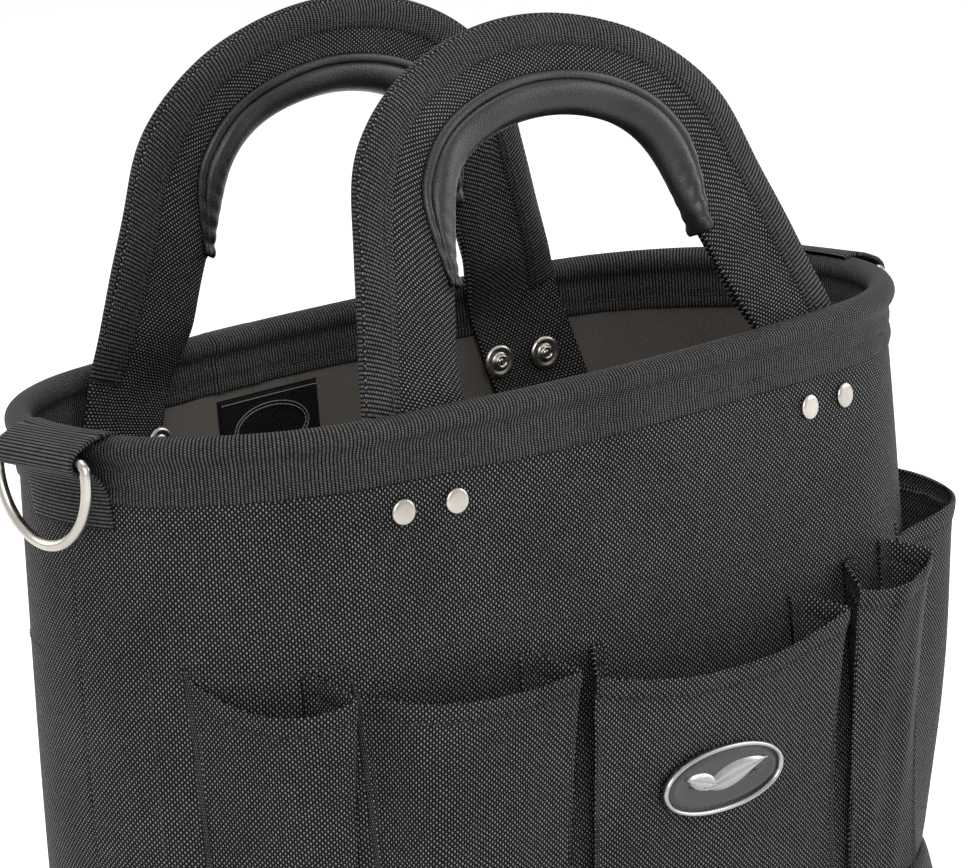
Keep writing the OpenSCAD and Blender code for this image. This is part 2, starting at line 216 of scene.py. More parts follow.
class Shade:
    """Short hand for wiring a node tree: every call adds one node."""

    def __init__(self, tree):
        self.tree = tree

    def add(self, kind, **settings):
        node = self.tree.nodes.new(kind)
        for key, value in settings.items():
            setattr(node, key, value)
        return node

    def put(self, socket, value):
        if isinstance(value, bpy.types.NodeSocket):
            self.tree.links.new(value, socket)
        else:
            socket.default_value = value

    def math(self, operation, a, b=0.5, c=0.5):
        node = self.add("ShaderNodeMath", operation=operation)
        for socket, value in zip(node.inputs, (a, b, c)):
            self.put(socket, value)
        return node.outputs[0]

    def plus(self, a, b):
        return self.math("ADD", a, b)

    def minus(self, a, b):
        return self.math("SUBTRACT", a, b)

    def times(self, a, b):
        return self.math("MULTIPLY", a, b)

    def over(self, a, b):
        return self.math("DIVIDE", a, b)

    def centred(self, value):
        """The place inside one step, from -1 to 1."""
        return self.minus(self.times(self.math("FRACT", value), 2.0), 1.0)

    def split(self, vector):
        node = self.add("ShaderNodeSeparateXYZ")
        self.put(node.inputs[0], vector)
        return node.outputs

    def cell_value(self, a, b):
        """One random value for each cell."""
        cell = self.add("ShaderNodeCombineXYZ")
        self.put(cell.inputs[0], a)
        self.put(cell.inputs[1], b)
        speck = self.add("ShaderNodeTexWhiteNoise", noise_dimensions="2D")
        self.put(speck.inputs["Vector"], cell.outputs[0])
        return speck.outputs["Value"]

    def bump(self, skin, height, strength, distance):
        """Feeds a height into a skin's Normal."""
        node = self.add("ShaderNodeBump")
        node.inputs["Strength"].default_value = strength
        node.inputs["Distance"].default_value = distance
        self.put(node.inputs["Height"], height)
        self.put(skin.inputs["Normal"], node.outputs[0])

    def ramp(self, value, low, high, out_low=0.0, out_high=1.0):
        node = self.add("ShaderNodeMapRange", clamp=True)
        for key, item in zip(("Value", "From Min", "From Max", "To Min", "To Max"),
                             (value, low, high, out_low, out_high)):
            self.put(node.inputs[key], item)
        return node.outputs["Result"]

    def mix(self, factor, a, b):
        node = self.add("ShaderNodeMix", data_type="RGBA")
        self.put(node.inputs[0], factor)
        self.put(node.inputs[6], a)
        self.put(node.inputs[7], b)
        return node.outputs[2]

    def noise(self, vector, scale, detail=2.0, rough=0.5):
        node = self.add("ShaderNodeTexNoise")
        self.put(node.inputs["Vector"], vector)
        self.put(node.inputs["Scale"], scale)
        self.put(node.inputs["Detail"], detail)
        self.put(node.inputs["Roughness"], rough)
        return node.outputs["Fac"]

    def group(self, tree, **values):
        node = self.add("ShaderNodeGroup", node_tree=tree)
        for key, value in values.items():
            self.put(node.inputs[key.replace("_", " ")], value)
        return node.outputs


def new_group(name, inputs, outputs, kind="ShaderNodeTree"):
    """An empty node group with named sockets."""
    tree = bpy.data.node_groups.new(name, kind)
    for way, sockets in (("INPUT", inputs), ("OUTPUT", outputs)):
        for label, value in sockets:
            tree.interface.new_socket(name=label, in_out=way, socket_type="NodeSocket" + value)
    shade = Shade(tree)
    return tree, shade, shade.add("NodeGroupInput").outputs, shade.add("NodeGroupOutput").inputs


def new_pattern(name):
    """A cloth pattern's group, with its cloth map already split in two."""
    tree, s, given, out = new_group(
        name, [("Cloth", "Vector"), ("Pitch Across", "Float"), ("Pitch Along", "Float"), ("Dash", "Float")],
        [("Height", "Float"), ("Tone", "Float")])
    return tree, s, given, out, s.split(given["Cloth"])


def new_material(name):
    """An empty material, its node short hand and its skin."""
    material = bpy.data.materials.new(name)
    material.use_nodes = True
    return material, Shade(material.node_tree), material.node_tree.nodes["Principled BSDF"]


def build_weave():
    """Plain basket weave: a checker of crossing threads, each a small dome."""
    tree, s, given, out, cloth = new_pattern("crossed_threads")
    # A slow wobble keeps the threads from running dead straight.
    wobble = s.times(s.minus(s.noise(given["Cloth"], 60.0, 1.0), 0.5), 0.0012)
    across = s.over(s.plus(cloth[0], wobble), given["Pitch Across"])
    along = s.over(s.plus(cloth[1], wobble), given["Pitch Along"])
    cell_a, cell_b = s.math("FLOOR", across), s.math("FLOOR", along)
    fa = s.centred(across)
    fb = s.centred(along)
    odd = s.math("FLOORED_MODULO", s.plus(cell_a, cell_b), 2.0)
    qa, qb = s.times(fa, fa), s.times(fb, fb)
    one_way = s.times(s.minus(1.0, s.times(qa, 1.15)),
                     s.minus(1.0, s.times(qb, given["Dash"])))
    other_way = s.times(s.minus(1.0, s.times(qb, 1.15)),
                       s.minus(1.0, s.times(qa, given["Dash"])))
    other_way = s.times(other_way, 0.38)
    height = s.plus(s.times(one_way, s.minus(1.0, odd)),
                    s.times(other_way, odd))
    s.put(out["Height"], s.math("MAXIMUM", height, 0.0))
    s.put(out["Tone"], s.cell_value(cell_a, cell_b))
    return tree


crossed_threads = build_weave()


def cloth_material(name, pattern, pitch_across, pitch_along, painted_gap_shade, thread, dash=0.55, rough=0.5,
                   bump_m=0.0003, mottle=0.25, sharp=1.8, gloss=0.3):
    """A woven material on the piece's own cloth map: painted shade in the gaps and a painted highlight on the
    thread tops, mixed by the weave's relief height.
    """
    material, s, skin = new_material(name)
    cloth = s.add("ShaderNodeUVMap", uv_map="cloth").outputs[0]
    woven = s.group(pattern, Cloth=cloth, Pitch_Across=pitch_across, Pitch_Along=pitch_along, Dash=dash)
    # Painted light: the relief height darkens the gaps as painted shade and lightens the thread tops as a
    # painted highlight. The tone and patch noise are the cloth's own.
    painted_relief_light = s.math("POWER", woven["Height"], sharp)
    painted_relief_light = s.times(painted_relief_light, s.ramp(woven["Tone"], 0.0, 1.0, 1.0 - mottle, 1.0 + mottle))
    place = s.add("ShaderNodeTexCoord").outputs["Object"]
    patch = s.ramp(s.noise(place, 22.0, 3.0), 0.3, 0.7, 0.86, 1.12)
    painted_relief_light = s.times(painted_relief_light, patch)
    s.put(skin.inputs["Base Color"], s.mix(painted_relief_light, painted_gap_shade, thread))
    s.put(skin.inputs["Roughness"], s.ramp(woven["Tone"], 0.0, 1.0, rough - 0.06, rough + 0.08))
    s.bump(skin, woven["Height"], 0.8, bump_m)
    s.put(skin.inputs["Specular IOR Level"], s.times(painted_relief_light, gloss))
    return material


# Painted light on the outer cloth: the near-black gap colour is painted shade between the threads, and the
# thread-top colour is the black cloth lightened by a painted highlight.
OUTER_GAP_SHADE = (0.0010, 0.0010, 0.0011, 1)
OUTER_THREAD_WITH_HIGHLIGHT = (0.150, 0.150, 0.153, 1)
outer_cloth = cloth_material("outer_cloth", crossed_threads, 0.00118, 0.00108, OUTER_GAP_SHADE, OUTER_THREAD_WITH_HIGHLIGHT,
                             sharp=2.2)

BASE_Z = 0.003
BAND_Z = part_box("rim_bands")[0].z
WALL_TOP = RIM_Z - 0.012  # tucked up inside the rim binding
LEFT_END = -GIRTH / 4
WALL_ROWS = 70
WALL_COLUMNS = 300


def wall_swell(s, z):
    """How far the soft wall stands out of its flat plan, at arc length s and height z."""
    t = np.clip((z - BASE_Z) / (BAND_Z - BASE_Z), 0, 1)
    belly = 0.0022 * np.sin(math.pi * np.clip(t, 0, 1)) ** 0.8
    wave = np.sin(9 * 2 * math.pi * s / GIRTH + 2.0 * z / 0.33) + 0.6 * np.sin(
        5 * 2 * math.pi * s / GIRTH - 11.0 * z)
    return belly + 0.0006 * wave * np.sin(math.pi * t)


def on_wall(s, z, stand):
    """Points on the outside of the soft wall, standing off it by stand."""
    x, y, nx, ny = plan_point(s, WALL_INSET)
    d = wall_swell(s, z) + stand
    return np.stack([x + nx * d, y + ny * d, np.broadcast_to(z, x.shape)], -1)


s_grid, z_grid = np.meshgrid(LEFT_END + np.linspace(0, GIRTH, WALL_COLUMNS),
                             np.linspace(BASE_Z, WALL_TOP, WALL_ROWS))
outer_wall = cloth_grid("outer_wall", on_wall(s_grid, z_grid, 0.0), s_grid, z_grid, outer_cloth, 0.0014)
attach(outer_wall, "bag")
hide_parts("body_shell")


# ---- Boot and base --------------------------------------------------------------
# The foot of the tub is wrapped in a padded boot of the same cloth, sewn under the
# pockets and round a piping at the ground. A flat cover closes the underside, and
# a stiff board lies inside it.
boot_low, boot_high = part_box("base_boot")
BOOT_STAND = boot_high.x - HALF_LENGTH + WALL_INSET
BOOT_ROWS = 26
piping_low, piping_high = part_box("boot_piping")
PIPING_Z = (piping_low.z + piping_high.z) / 2
PIPING_R = (piping_high.z - piping_low.z) / 2


def boot_stand(z):
    """The boot swells from its upper seam and pulls in again at the piping."""
    t = np.clip((z - boot_low.z) / (boot_high.z - boot_low.z), 0, 1)
    swell = np.clip(4.2 * (1 - t), 0, 1) ** 0.5
    return 0.0008 + (BOOT_STAND - 0.0008) * swell * np.clip(0.72 + 3.5 * t, 0, 1)


s_grid, z_grid = np.meshgrid(LEFT_END + np.linspace(0, GIRTH, WALL_COLUMNS),
                             np.linspace(boot_low.z, boot_high.z, BOOT_ROWS))
boot_points = on_wall(s_grid, z_grid, boot_stand(z_grid))
boot = cloth_grid("foot_boot", boot_points, s_grid, z_grid, outer_cloth, 0.0014)
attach(boot, "bag")
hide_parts("base_boot")


NEARLY_ALONG = 0.95


def run_along(line):
    """Running length at each point of a line."""
    return np.concatenate([[0], np.cumsum(np.linalg.norm(np.diff(line, axis=0), axis=1))])


def tube_along(name, centres, radius, material, sides=12):
    """A round tube round a closed line of points; its cloth map runs along the line."""
    line = np.asarray(centres, float)
    step = np.roll(line, -1, 0) - np.roll(line, 1, 0)
    step /= np.linalg.norm(step, axis=1, keepdims=True)
    guide = np.array([0.0, 0.0, 1.0])
    if abs(step @ guide).max() > NEARLY_ALONG:
        guide = np.array([1.0, 0.0, 0.0])
    side = np.cross(step, guide)
    side /= np.linalg.norm(side, axis=1, keepdims=True)
    over = np.cross(side, step)
    turn = np.linspace(0, 2 * math.pi, sides, endpoint=False)
    ring = side[:, None] * np.cos(turn)[None, :, None] + over[:, None] * np.sin(turn)[None, :, None]
    points = line[:, None] + radius * ring
    n = len(line)
    along = run_along(line)
    u = np.repeat(along[:, None], sides, 1)
    v = np.repeat((turn * radius)[None], n, 0)
    faces = grid_faces(n, sides, wrap=True)
    last = (n - 1) * sides
    faces += [(last + j, last + (j + 1) % sides, (j + 1) % sides, j) for j in range(sides)]
    return make_piece(name, points.reshape(-1, 3), faces, np.stack([u, v], -1).reshape(-1, 2), material)


def build_ribbed():
    """Ribbed webbing: ribs across the strap, each bound by short dashes."""
    tree, s, given, out, cloth = new_pattern("webbing_ribs")
    across = s.over(cloth[0], given["Pitch Across"])
    rib = s.math("FLOOR", across)
    shifted = s.plus(s.over(cloth[1], given["Pitch Along"]), s.times(rib, 0.5))
    fa = s.centred(across)
    fb = s.centred(shifted)
    ridge = s.minus(1.0, s.times(s.times(fa, fa), 1.1))
    dashes = s.minus(1.0, s.times(s.times(fb, fb), given["Dash"]))
    s.put(out["Height"], s.math("MAXIMUM", s.times(ridge, dashes), 0.0))
    s.put(out["Tone"], s.cell_value(rib, s.math("FLOOR", shifted)))
    return tree


webbing_ribs = build_ribbed()
# Painted shade: the webbing's gap colour darkens the hollows between its ribs.
WEB_GAP_SHADE = (0.0012, 0.0012, 0.0013, 1)
WEB_THREAD = (0.062, 0.062, 0.063, 1)
webbing = cloth_material("webbing", webbing_ribs, 0.0015, 0.00095, WEB_GAP_SHADE, WEB_THREAD, dash=0.7, rough=0.55)

ring_s = np.linspace(0, GIRTH, 240, endpoint=False)
px, py, nx, ny = plan_point(ring_s, WALL_INSET)
piping_out = BOOT_STAND - PIPING_R
piping_line = np.stack([px + nx * piping_out, py + ny * piping_out, np.full_like(px, PIPING_Z)], -1)
piping = tube_along("foot_piping", piping_line, PIPING_R, webbing)
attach(piping, "bag")
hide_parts("boot_piping")


PLAN_STEPS = 120


def filled_plan(name, z, inset, material, lift=0.0, up=True, thickness=0.0):
    """A flat cloth floor that fills the oval, from its middle line out to its edge."""
    rings = 14
    s = np.linspace(0, GIRTH, PLAN_STEPS, endpoint=False)
    x, y, _, _ = plan_point(s, inset)
    mid = np.clip(x, -END_X, END_X)
    share = np.linspace(0.02, 1, rings)[:, None]
    gx = mid + (x - mid) * share
    gy = y * share
    gz = z + lift * np.sin(gx * 31) * np.cos(gy * 47) * (1 - share**2)
    points = np.stack([gx, gy, gz], -1).reshape(-1, 3)
    faces = grid_faces(rings, PLAN_STEPS, wrap=True, flip=up)
    inner = tuple(range(PLAN_STEPS))
    faces.append(inner if up else inner[::-1])
    piece = make_piece(name, points, faces, points[:, :2], material)
    if thickness:
        thicken(piece, thickness)
    return piece


base = filled_plan("base_underside", 0.0, 0.0, outer_cloth, up=False, thickness=0.003)
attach(base, "bag")
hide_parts("base_cover")


def speckled(name, colour, rough, spread=0.15, scale=300.0, bump=0.15):
    """A plain moulded or pressed material with a fine tooth."""
    material, s, skin = new_material(name)
    place = s.add("ShaderNodeTexCoord").outputs["Object"]
    tooth = s.noise(place, scale, 4.0)
    dark = tuple(c * (1 - spread) for c in colour) + (1,)
    light = tuple(c * (1 + spread) for c in colour) + (1,)
    s.put(skin.inputs["Base Color"], s.mix(s.ramp(tooth, 0.3, 0.7), dark, light))
    s.put(skin.inputs["Roughness"], s.ramp(tooth, 0.3, 0.7, rough - 0.08, rough + 0.08))
    s.bump(skin, tooth, bump, 0.0003)
    return material


board = speckled("board", (0.10, 0.095, 0.09), 0.6)
hoop_plastic = speckled("hoop_plastic", (0.3, 0.3, 0.3), 0.45)
for node, material in (("base_panel", board), ("wall_stiffener", board), ("rim_hoop", hoop_plastic)):
    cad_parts[node].data.materials.clear()
    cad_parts[node].data.materials.append(material)


# ---- Lining ---------------------------------------------------------------------
# A bag of fine grey-brown twill hangs inside the wall, with a floor of its own. It
# is cut in panels, and carries a wide flat pocket on the front and on the rear.
LINING_INSET = 0.0086
LINING_FLOOR_INSET = 0.0095


def build_twill():
    """Fine twill: slanting cords that step one thread at a time."""
    tree, s, given, out, cloth = new_pattern("slanting_cords")
    a = s.over(cloth[0], given["Pitch Across"])
    b = s.over(cloth[1], given["Pitch Along"])
    slant = s.math("SINE", s.times(s.plus(a, b), 2 * math.pi))
    cross = s.math("SINE", s.times(s.minus(a, b), 2 * math.pi))
    body = s.plus(s.times(slant, 0.35), s.times(cross, given["Dash"]))
    s.put(out["Height"], s.plus(body, 0.5))
    s.put(out["Tone"], s.noise(given["Cloth"], 900.0, 2.0))
    return tree


slanting_cords = build_twill()
# Painted shade: the dark colour fills the grooves between the twill's cords.
LINING_GROOVE_SHADE = (0.034, 0.030, 0.027, 1)
LINING_LIGHT = (0.105, 0.094, 0.083, 1)
lining_cloth = cloth_material("lining_cloth", slanting_cords, 0.0010, 0.0014, LINING_GROOVE_SHADE, LINING_LIGHT,
                              dash=0.12, rough=0.8, bump_m=0.0001, mottle=0.2, sharp=0.8, gloss=0.15)
LINING_FLOOR_Z = 0.0085


def lining_wall(s, z, stand=0.0):
    """Points on the inside face of the lining, with its soft hollows."""
    x, y, nx, ny = plan_point(s, LINING_INSET)
    t = np.clip((z - 0.01) / 0.29, 0, 1)
    slack = 0.0012 * np.sin(s * 43 + 5 * z) * np.sin(math.pi * t) + 0.0006 * np.sin(s * 97 - 30 * z)
    slack = np.clip(slack, -0.0008, 0.002) * np.clip((RIM_Z - 0.03 - z) / 0.03, 0, 1)
    d = -(stand + np.abs(slack))
    return np.stack([x + nx * d, y + ny * d, np.broadcast_to(z, x.shape)], -1)


s_grid, z_grid = np.meshgrid(LEFT_END + np.linspace(0, GIRTH, 260), np.linspace(LINING_FLOOR_Z, WALL_TOP, 60))
lining = cloth_grid("lining_wall", lining_wall(s_grid, z_grid), s_grid, z_grid, lining_cloth, flip=True)
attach(lining, "bag")
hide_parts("lining")
lining_floor = filled_plan("lining_floor", LINING_FLOOR_Z, LINING_FLOOR_INSET, lining_cloth, lift=0.0008)
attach(lining_floor, "bag")


# ---- Stitching --------------------------------------------------------------------
# Every seam shows a row of short thread dashes. A node tree walks each seam's line
# at the machine's pitch and lays one bead of thread along it at every step.
def build_stitcher():
    """A tree that turns edges into beads of thread."""
    tree, s, given, out = new_group(
        "lay_stitches", [("Geometry", "Geometry"), ("Pitch", "Float"), ("Length", "Float"),
                         ("Thickness", "Float"), ("Thread", "Material")],
        [("Geometry", "Geometry")], "GeometryNodeTree")
    curve = s.add("GeometryNodeMeshToCurve")
    s.put(curve.inputs["Mesh"], given["Geometry"])
    steps = s.add("GeometryNodeCurveToPoints", mode="LENGTH")
    s.put(steps.inputs["Curve"], curve.outputs[0])
    s.put(steps.inputs["Length"], given["Pitch"])
    bead = s.add("GeometryNodeMeshIcoSphere")
    bead.inputs["Radius"].default_value = 0.5
    bead.inputs["Subdivisions"].default_value = 2
    size = s.add("ShaderNodeCombineXYZ")
    s.put(size.inputs[0], given["Thickness"])
    s.put(size.inputs[1], given["Thickness"])
    s.put(size.inputs[2], given["Length"])
    lay = s.add("GeometryNodeInstanceOnPoints")
    s.put(lay.inputs["Points"], steps.outputs["Points"])
    s.put(lay.inputs["Instance"], bead.outputs["Mesh"])
    turn = s.add("FunctionNodeAlignEulerToVector", axis="Z")
    s.put(turn.inputs["Vector"], steps.outputs["Tangent"])
    s.put(lay.inputs["Rotation"], turn.outputs[0])
    s.put(lay.inputs["Scale"], size.outputs[0])
    real = s.add("GeometryNodeRealizeInstances")
    s.put(real.inputs[0], lay.outputs[0])
    smooth = s.add("GeometryNodeSetShadeSmooth")
    s.put(smooth.inputs["Geometry"], real.outputs[0])
    paint = s.add("GeometryNodeSetMaterial")
    s.put(paint.inputs["Geometry"], smooth.outputs[0])
    s.put(paint.inputs["Material"], given["Thread"])
    s.put(out["Geometry"], paint.outputs[0])
    return tree


stitcher = build_stitcher()


def set_input(modifier, label, value):
    """Sets a node tree's input by its socket's identifier."""
    for item in modifier.node_group.interface.items_tree:
        if item.item_type == "SOCKET" and item.in_out == "INPUT" and item.name == label:
            modifier[item.identifier] = value


def stitch(name, lines, thread, pitch=0.0032, length=0.0027, thick=0.00055):
    """One mesh of stitches along several lines of points."""
    points, edges = [], []
    for line in lines:
        first = len(points)
        points += [tuple(p) for p in line]
        edges += [(first + i, first + i + 1) for i in range(len(line) - 1)]
    mesh = bpy.data.meshes.new(name)
    mesh.from_pydata(points, edges, [])
    piece = bpy.data.objects.new(name, mesh)
    bpy.context.collection.objects.link(piece)
    rows = piece.modifiers.new("stitches", "NODES")
    rows.node_group = stitcher
    for label, value in (("Pitch", pitch), ("Length", length), ("Thickness", thick), ("Thread", thread)):
        set_input(rows, label, value)
    return apply_modifiers(piece)


def thread_material(name, colour, rough=0.5):
    """Twisted sewing thread."""
    material, s, skin = new_material(name)
    place = s.add("ShaderNodeTexCoord").outputs["Object"]
    wave = s.add("ShaderNodeTexWave", wave_type="BANDS", bands_direction="DIAGONAL")
    s.put(wave.inputs["Vector"], place)
    wave.inputs["Scale"].default_value = 900.0
    dark = tuple(c * 0.6 for c in colour) + (1,)
    s.put(skin.inputs["Base Color"], s.mix(wave.outputs["Fac"], dark, colour + (1,)))
    skin.inputs["Roughness"].default_value = rough
    return material


# Black thread, made darker still as painted shade of the groove each seam sits in.
black_thread_and_seam_shade = thread_material("black_thread_and_seam_shade", (0.010, 0.010, 0.011), 0.7)
grey_thread = thread_material("grey_thread", (0.12, 0.12, 0.12))

LINE_Z = RIM_Z - 0.089
line_start = arc_at_x(-0.1935)
line_end = arc_at_x(0.160)
s_line = np.linspace(line_start, line_end, 200)
wall_lines = [on_wall(s_line, np.full_like(s_line, LINE_Z), 0.0002)]
drop = np.linspace(LINE_Z, boot_high.z, 40)
wall_lines.append(on_wall(np.full_like(drop, line_start), drop, 0.0002))
wall_lines.append(on_wall(GIRTH / 2 - s_line, np.full_like(s_line, LINE_Z), 0.0002))
wall_stitches = stitch("wall_stitches", wall_lines, black_thread_and_seam_shade, thick=0.0005)
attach(wall_stitches, "bag")


# ---- Rim binding ----------------------------------------------------------------
# A plastic hoop stiffens the mouth. Ribbed webbing is folded over it and sewn
# through the wall, so it rolls over the top, pinches in below the roll and ends in
# a flat band inside and outside.
HALF_ROLL = rim_high.z - (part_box("rim_hoop")[0].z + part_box("rim_hoop")[1].z) / 2


def rim_profile():
    """(inset, height from the rim top) from the outer lower edge over to the inner."""
    points = [(0.0037, -0.0254), (0.0030, -0.0250), (0.0028, -0.0236), (0.0030, -0.0210), (0.0035, -0.0192),
              (0.0030, -0.0172), (0.0028, -0.0150), (0.0031, -0.0125)]
    for angle in np.radians(np.linspace(-48, 228, 22)):
        points.append((HALF_ROLL - HALF_ROLL * math.cos(angle), -HALF_ROLL + HALF_ROLL * math.sin(angle)))
    points += [(0.0091, -0.0125), (0.0096, -0.0150), (0.0098, -0.0180), (0.0093, -0.0196),
               (0.0098, -0.0212), (0.0099, -0.0236), (0.0095, -0.0247), (0.0088, -0.0249)]
    return np.array(points)


profile = rim_profile()
lengths = run_along(profile)
RIM_COLUMNS = 420
ring_s = LEFT_END + np.linspace(0, GIRTH, RIM_COLUMNS)
s_grid, v_grid = np.meshgrid(ring_s, lengths)
inset_grid = np.repeat(profile[:, :1], RIM_COLUMNS, 1)
drop_grid = np.repeat(profile[:, 1:], RIM_COLUMNS, 1)
outward = np.sign(HALF_ROLL - inset_grid)
ripple = 0.00025 * np.sin(s_grid * 2 * math.pi / 0.021) * np.sin(s_grid * 31) + 0.0002 * np.sin(s_grid * 83)
low_share = np.clip(-drop_grid / 0.012 - 0.6, 0, 1)
LAP_S = arc_at_x(-0.040, front=False)
lap = np.clip((0.013 - np.abs(s_grid - LAP_S)) / 0.0012, 0, 1)
inset_grid = inset_grid - outward * (ripple * low_share + 0.0008 * lap)
drop_grid = drop_grid + 0.0004 * np.sin(s_grid * 37) * low_share
px, py, nx, ny = plan_point(s_grid, 0.0)
rim_points = np.stack([px - nx * inset_grid, py - ny * inset_grid, RIM_Z + drop_grid], -1)
binding = cloth_grid("rim_tape", rim_points, s_grid, v_grid, webbing, 0.0009)
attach(binding, "bag")
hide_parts("rim_binding", "rim_bands")


def rim_line(inset, drop):
    """A line round the rim at an inset and a drop below its top."""
    x, y, nx, ny = plan_point(np.linspace(0, GIRTH, 500), inset)
    return np.stack([x, y, np.full_like(x, RIM_Z - drop)], -1)


rim_stitches = stitch("rim_stitches", [rim_line(0.0034, 0.0192), rim_line(0.0095, 0.0196)], black_thread_and_seam_shade,
                      pitch=0.0036, length=0.0029, thick=0.0006)
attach(rim_stitches, "bag")


# ---- Pleated pockets --------------------------------------------------------------
# Each outside pocket is one strip of the outer cloth. It is sewn to the wall, runs
# out to a sharp fold, across its face to a second fold and back to the wall. The
# mouth is hemmed, and the pleats close towards the seam above the boot.
POCKET_FOOT = boot_high.z + 0.001
POCKET_DEPTH = 0.0165
HEM = 0.0085
HEM_ROW = 34
HEM_ROLL = ((0.0079, -0.0004), (0.0073, 0.0007), (0.0050, 0.0010), (0.0022, 0.0010), (0.0007, 0.0007),
            (0.0, 0.0001))
FACE_STEPS, SIDE_STEPS = 44, 9


def smooth_step(t):
    """An eased rise from 0 to 1."""
    t = np.clip(t, 0, 1)
    return t * t * (3 - 2 * t)


def pocket(name, s0, s1, tops, depth, node, flat_left=0.0, flat_right=0.0, tuck=0.011, droop=0.002, taper=1.7,
           body=None, inner=False, cloth=None, seed=0):
    """A pleated pocket between arc lengths s0 and s1 with its mouth at the three
    heights in tops. flat_left and flat_right are the shares of the face over which
    it rises from a side that is sewn flat. Returns its hem stitches' line and its
    points."""
    place = body or on_wall
    # Along the strip: share of the face, share of the depth, arc shift in tucks.
    strip = []
    if flat_left:
        strip += [(0, 0.02, -0.25), (0, 0.03, 0.0)]
    else:
        strip += [(0, 0.02, 1.55)] + [(0, t, 1.0 - t) for t in np.linspace(0.02, 0.94, SIDE_STEPS)]
        strip += [(0, 0.985, 0.015)]
    for t in np.linspace(0.012, 0.988, FACE_STEPS):
        rise = 1.0
        if flat_left:
            rise = min(rise, float(0.03 + 0.97 * smooth_step(t / flat_left)))
        if flat_right:
            rise = min(rise, float(0.03 + 0.97 * smooth_step((1 - t) / flat_right)))
        strip.append((t, rise, 0.0))
    if flat_right:
        strip += [(1, 0.03, 0.0), (1, 0.02, 0.25)]
    else:
        strip += [(1, 0.985, -0.015)] + [(1, t, t - 1.0) for t in np.linspace(0.94, 0.02, SIDE_STEPS)]
        strip += [(1, 0.02, -1.55)]
    share, out_share, shift = np.array(strip).T
    left, mid, right = tops
    top = RIM_Z + left * (1 - share) * (1 - 2 * share) + 4 * mid * share * (1 - share)
    top = top + right * share * (2 * share - 1)
    top = top + 0.007 * np.clip(1 - out_share, 0, 1) * (shift != 0) * (depth > 0.01)
    foot = LINING_FLOOR_Z + 0.002 if inner else POCKET_FOOT
    # Rows of (height, swell): the face up to the hem, then the rolled hem itself.
    rows = [(foot + (top - HEM - foot) * t, 0.0) for t in np.linspace(0, 1, HEM_ROW) ** 0.9]
    rows += [(top - below, out) for below, out in HEM_ROLL]
    z = np.stack([height for height, _ in rows])
    swell = np.array([out for _, out in rows])[:, None]
    t = (z - foot) / (top - foot)
    open_up = (0.0015 + (depth - 0.0015) * np.clip(t, 0, 1) ** taper) * out_share
    face = np.sin(math.pi * share) * (shift == 0)
    rng = np.random.default_rng(seed)
    a, b, c = rng.uniform(0, 6, 3)
    crease = 0.0009 * np.sin(9 * share + 24 * z + a) * np.sin(math.pi * t)
    crease = crease + 0.0005 * np.sin(17 * share - 41 * z + b)
    belly = droop * face * (0.35 + 0.65 * np.sin(math.pi * np.clip(t, 0, 1) ** 1.3))
    belly = belly + droop * 0.8 * face * t**6
    stand = np.maximum(open_up + belly + crease * face + swell * (0.3 + 0.7 * out_share), 0.0002)
    # The folds lean and pull in a little towards the foot, where the pleats close.
    spread = 0.0022 * np.sin(math.pi * t * 0.9 + c * 0.1)
    lean = np.where(share < 0.5, spread, -spread) * (1 - 2 * np.abs(share - 0.5) < 0.05)
    s = s0 + (s1 - s0) * share + tuck * shift * (0.55 + 0.45 * t) + lean
    points = place(s, z, stand)
    across = run_along(points[-1])
    u_map = np.broadcast_to(across[None] + s0, z.shape)
    piece = cloth_grid(name, points, u_map, z, cloth or outer_cloth, 0.0012, flip=inner)
    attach(piece, "bag")
    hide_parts(node)
    return place(s[HEM_ROW], z[HEM_ROW], stand[HEM_ROW] + 0.0006), points


FRONT_POCKETS = (
    ("pocket_left", -0.186, -0.143, (-0.091, -0.102, -0.098), 0.85, "front_pocket_left"),
    ("pocket_mid", -0.138, -0.054, (-0.101, -0.107, -0.106), 0.26, "front_pocket_mid"),
    ("pocket_centre", -0.048, 0.088, (-0.110, -0.121, -0.114), 0.0, "front_pocket_centre"),
    ("pocket_right", 0.094, 0.146, (-0.108, -0.112, -0.106), 0.0, "front_pocket_right"),
)
hem_lines = []
for index, (name, x0, x1, tops, slope, node) in enumerate(FRONT_POCKETS):
    line, face = pocket(name, arc_at_x(x0), arc_at_x(x1), tops, POCKET_DEPTH, node, flat_left=slope,
                        seed=index + 3)
    hem_lines.append(line)
    if name == "pocket_centre":
        centre_face = face
REAR_POCKETS = (
    ("pocket_rear_left", -0.150, -0.062, "rear_pocket_left"),
    ("pocket_rear_centre", -0.057, 0.057, "rear_pocket_centre"),
    ("pocket_rear_right", 0.062, 0.150, "rear_pocket_right"),
)
for index, (name, x0, x1, node) in enumerate(REAR_POCKETS):
    line, _ = pocket(name, arc_at_x(x1, False), arc_at_x(x0, False), (-0.110, -0.116, -0.110), POCKET_DEPTH,
                     node, flat_right=0.85 * (index == 0), seed=index + 11)
    hem_lines.append(line)
END_HALF = 0.072
end_turn = math.asin(END_HALF / END_RADIUS)
end_mid = SIDE_ARC / 2 + END_ARC / 2
line, _ = pocket("pocket_end", arc_at_x(0.153), end_mid + end_turn * END_RADIUS, (-0.103, -0.098, -0.101),
                 0.0245, "end_pocket", flat_left=0.30, droop=0.003, taper=0.7, seed=20)
hem_lines.append(line)
hem_stitches = stitch("hem_stitches", hem_lines, black_thread_and_seam_shade, thick=0.0005)
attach(hem_stitches, "bag")

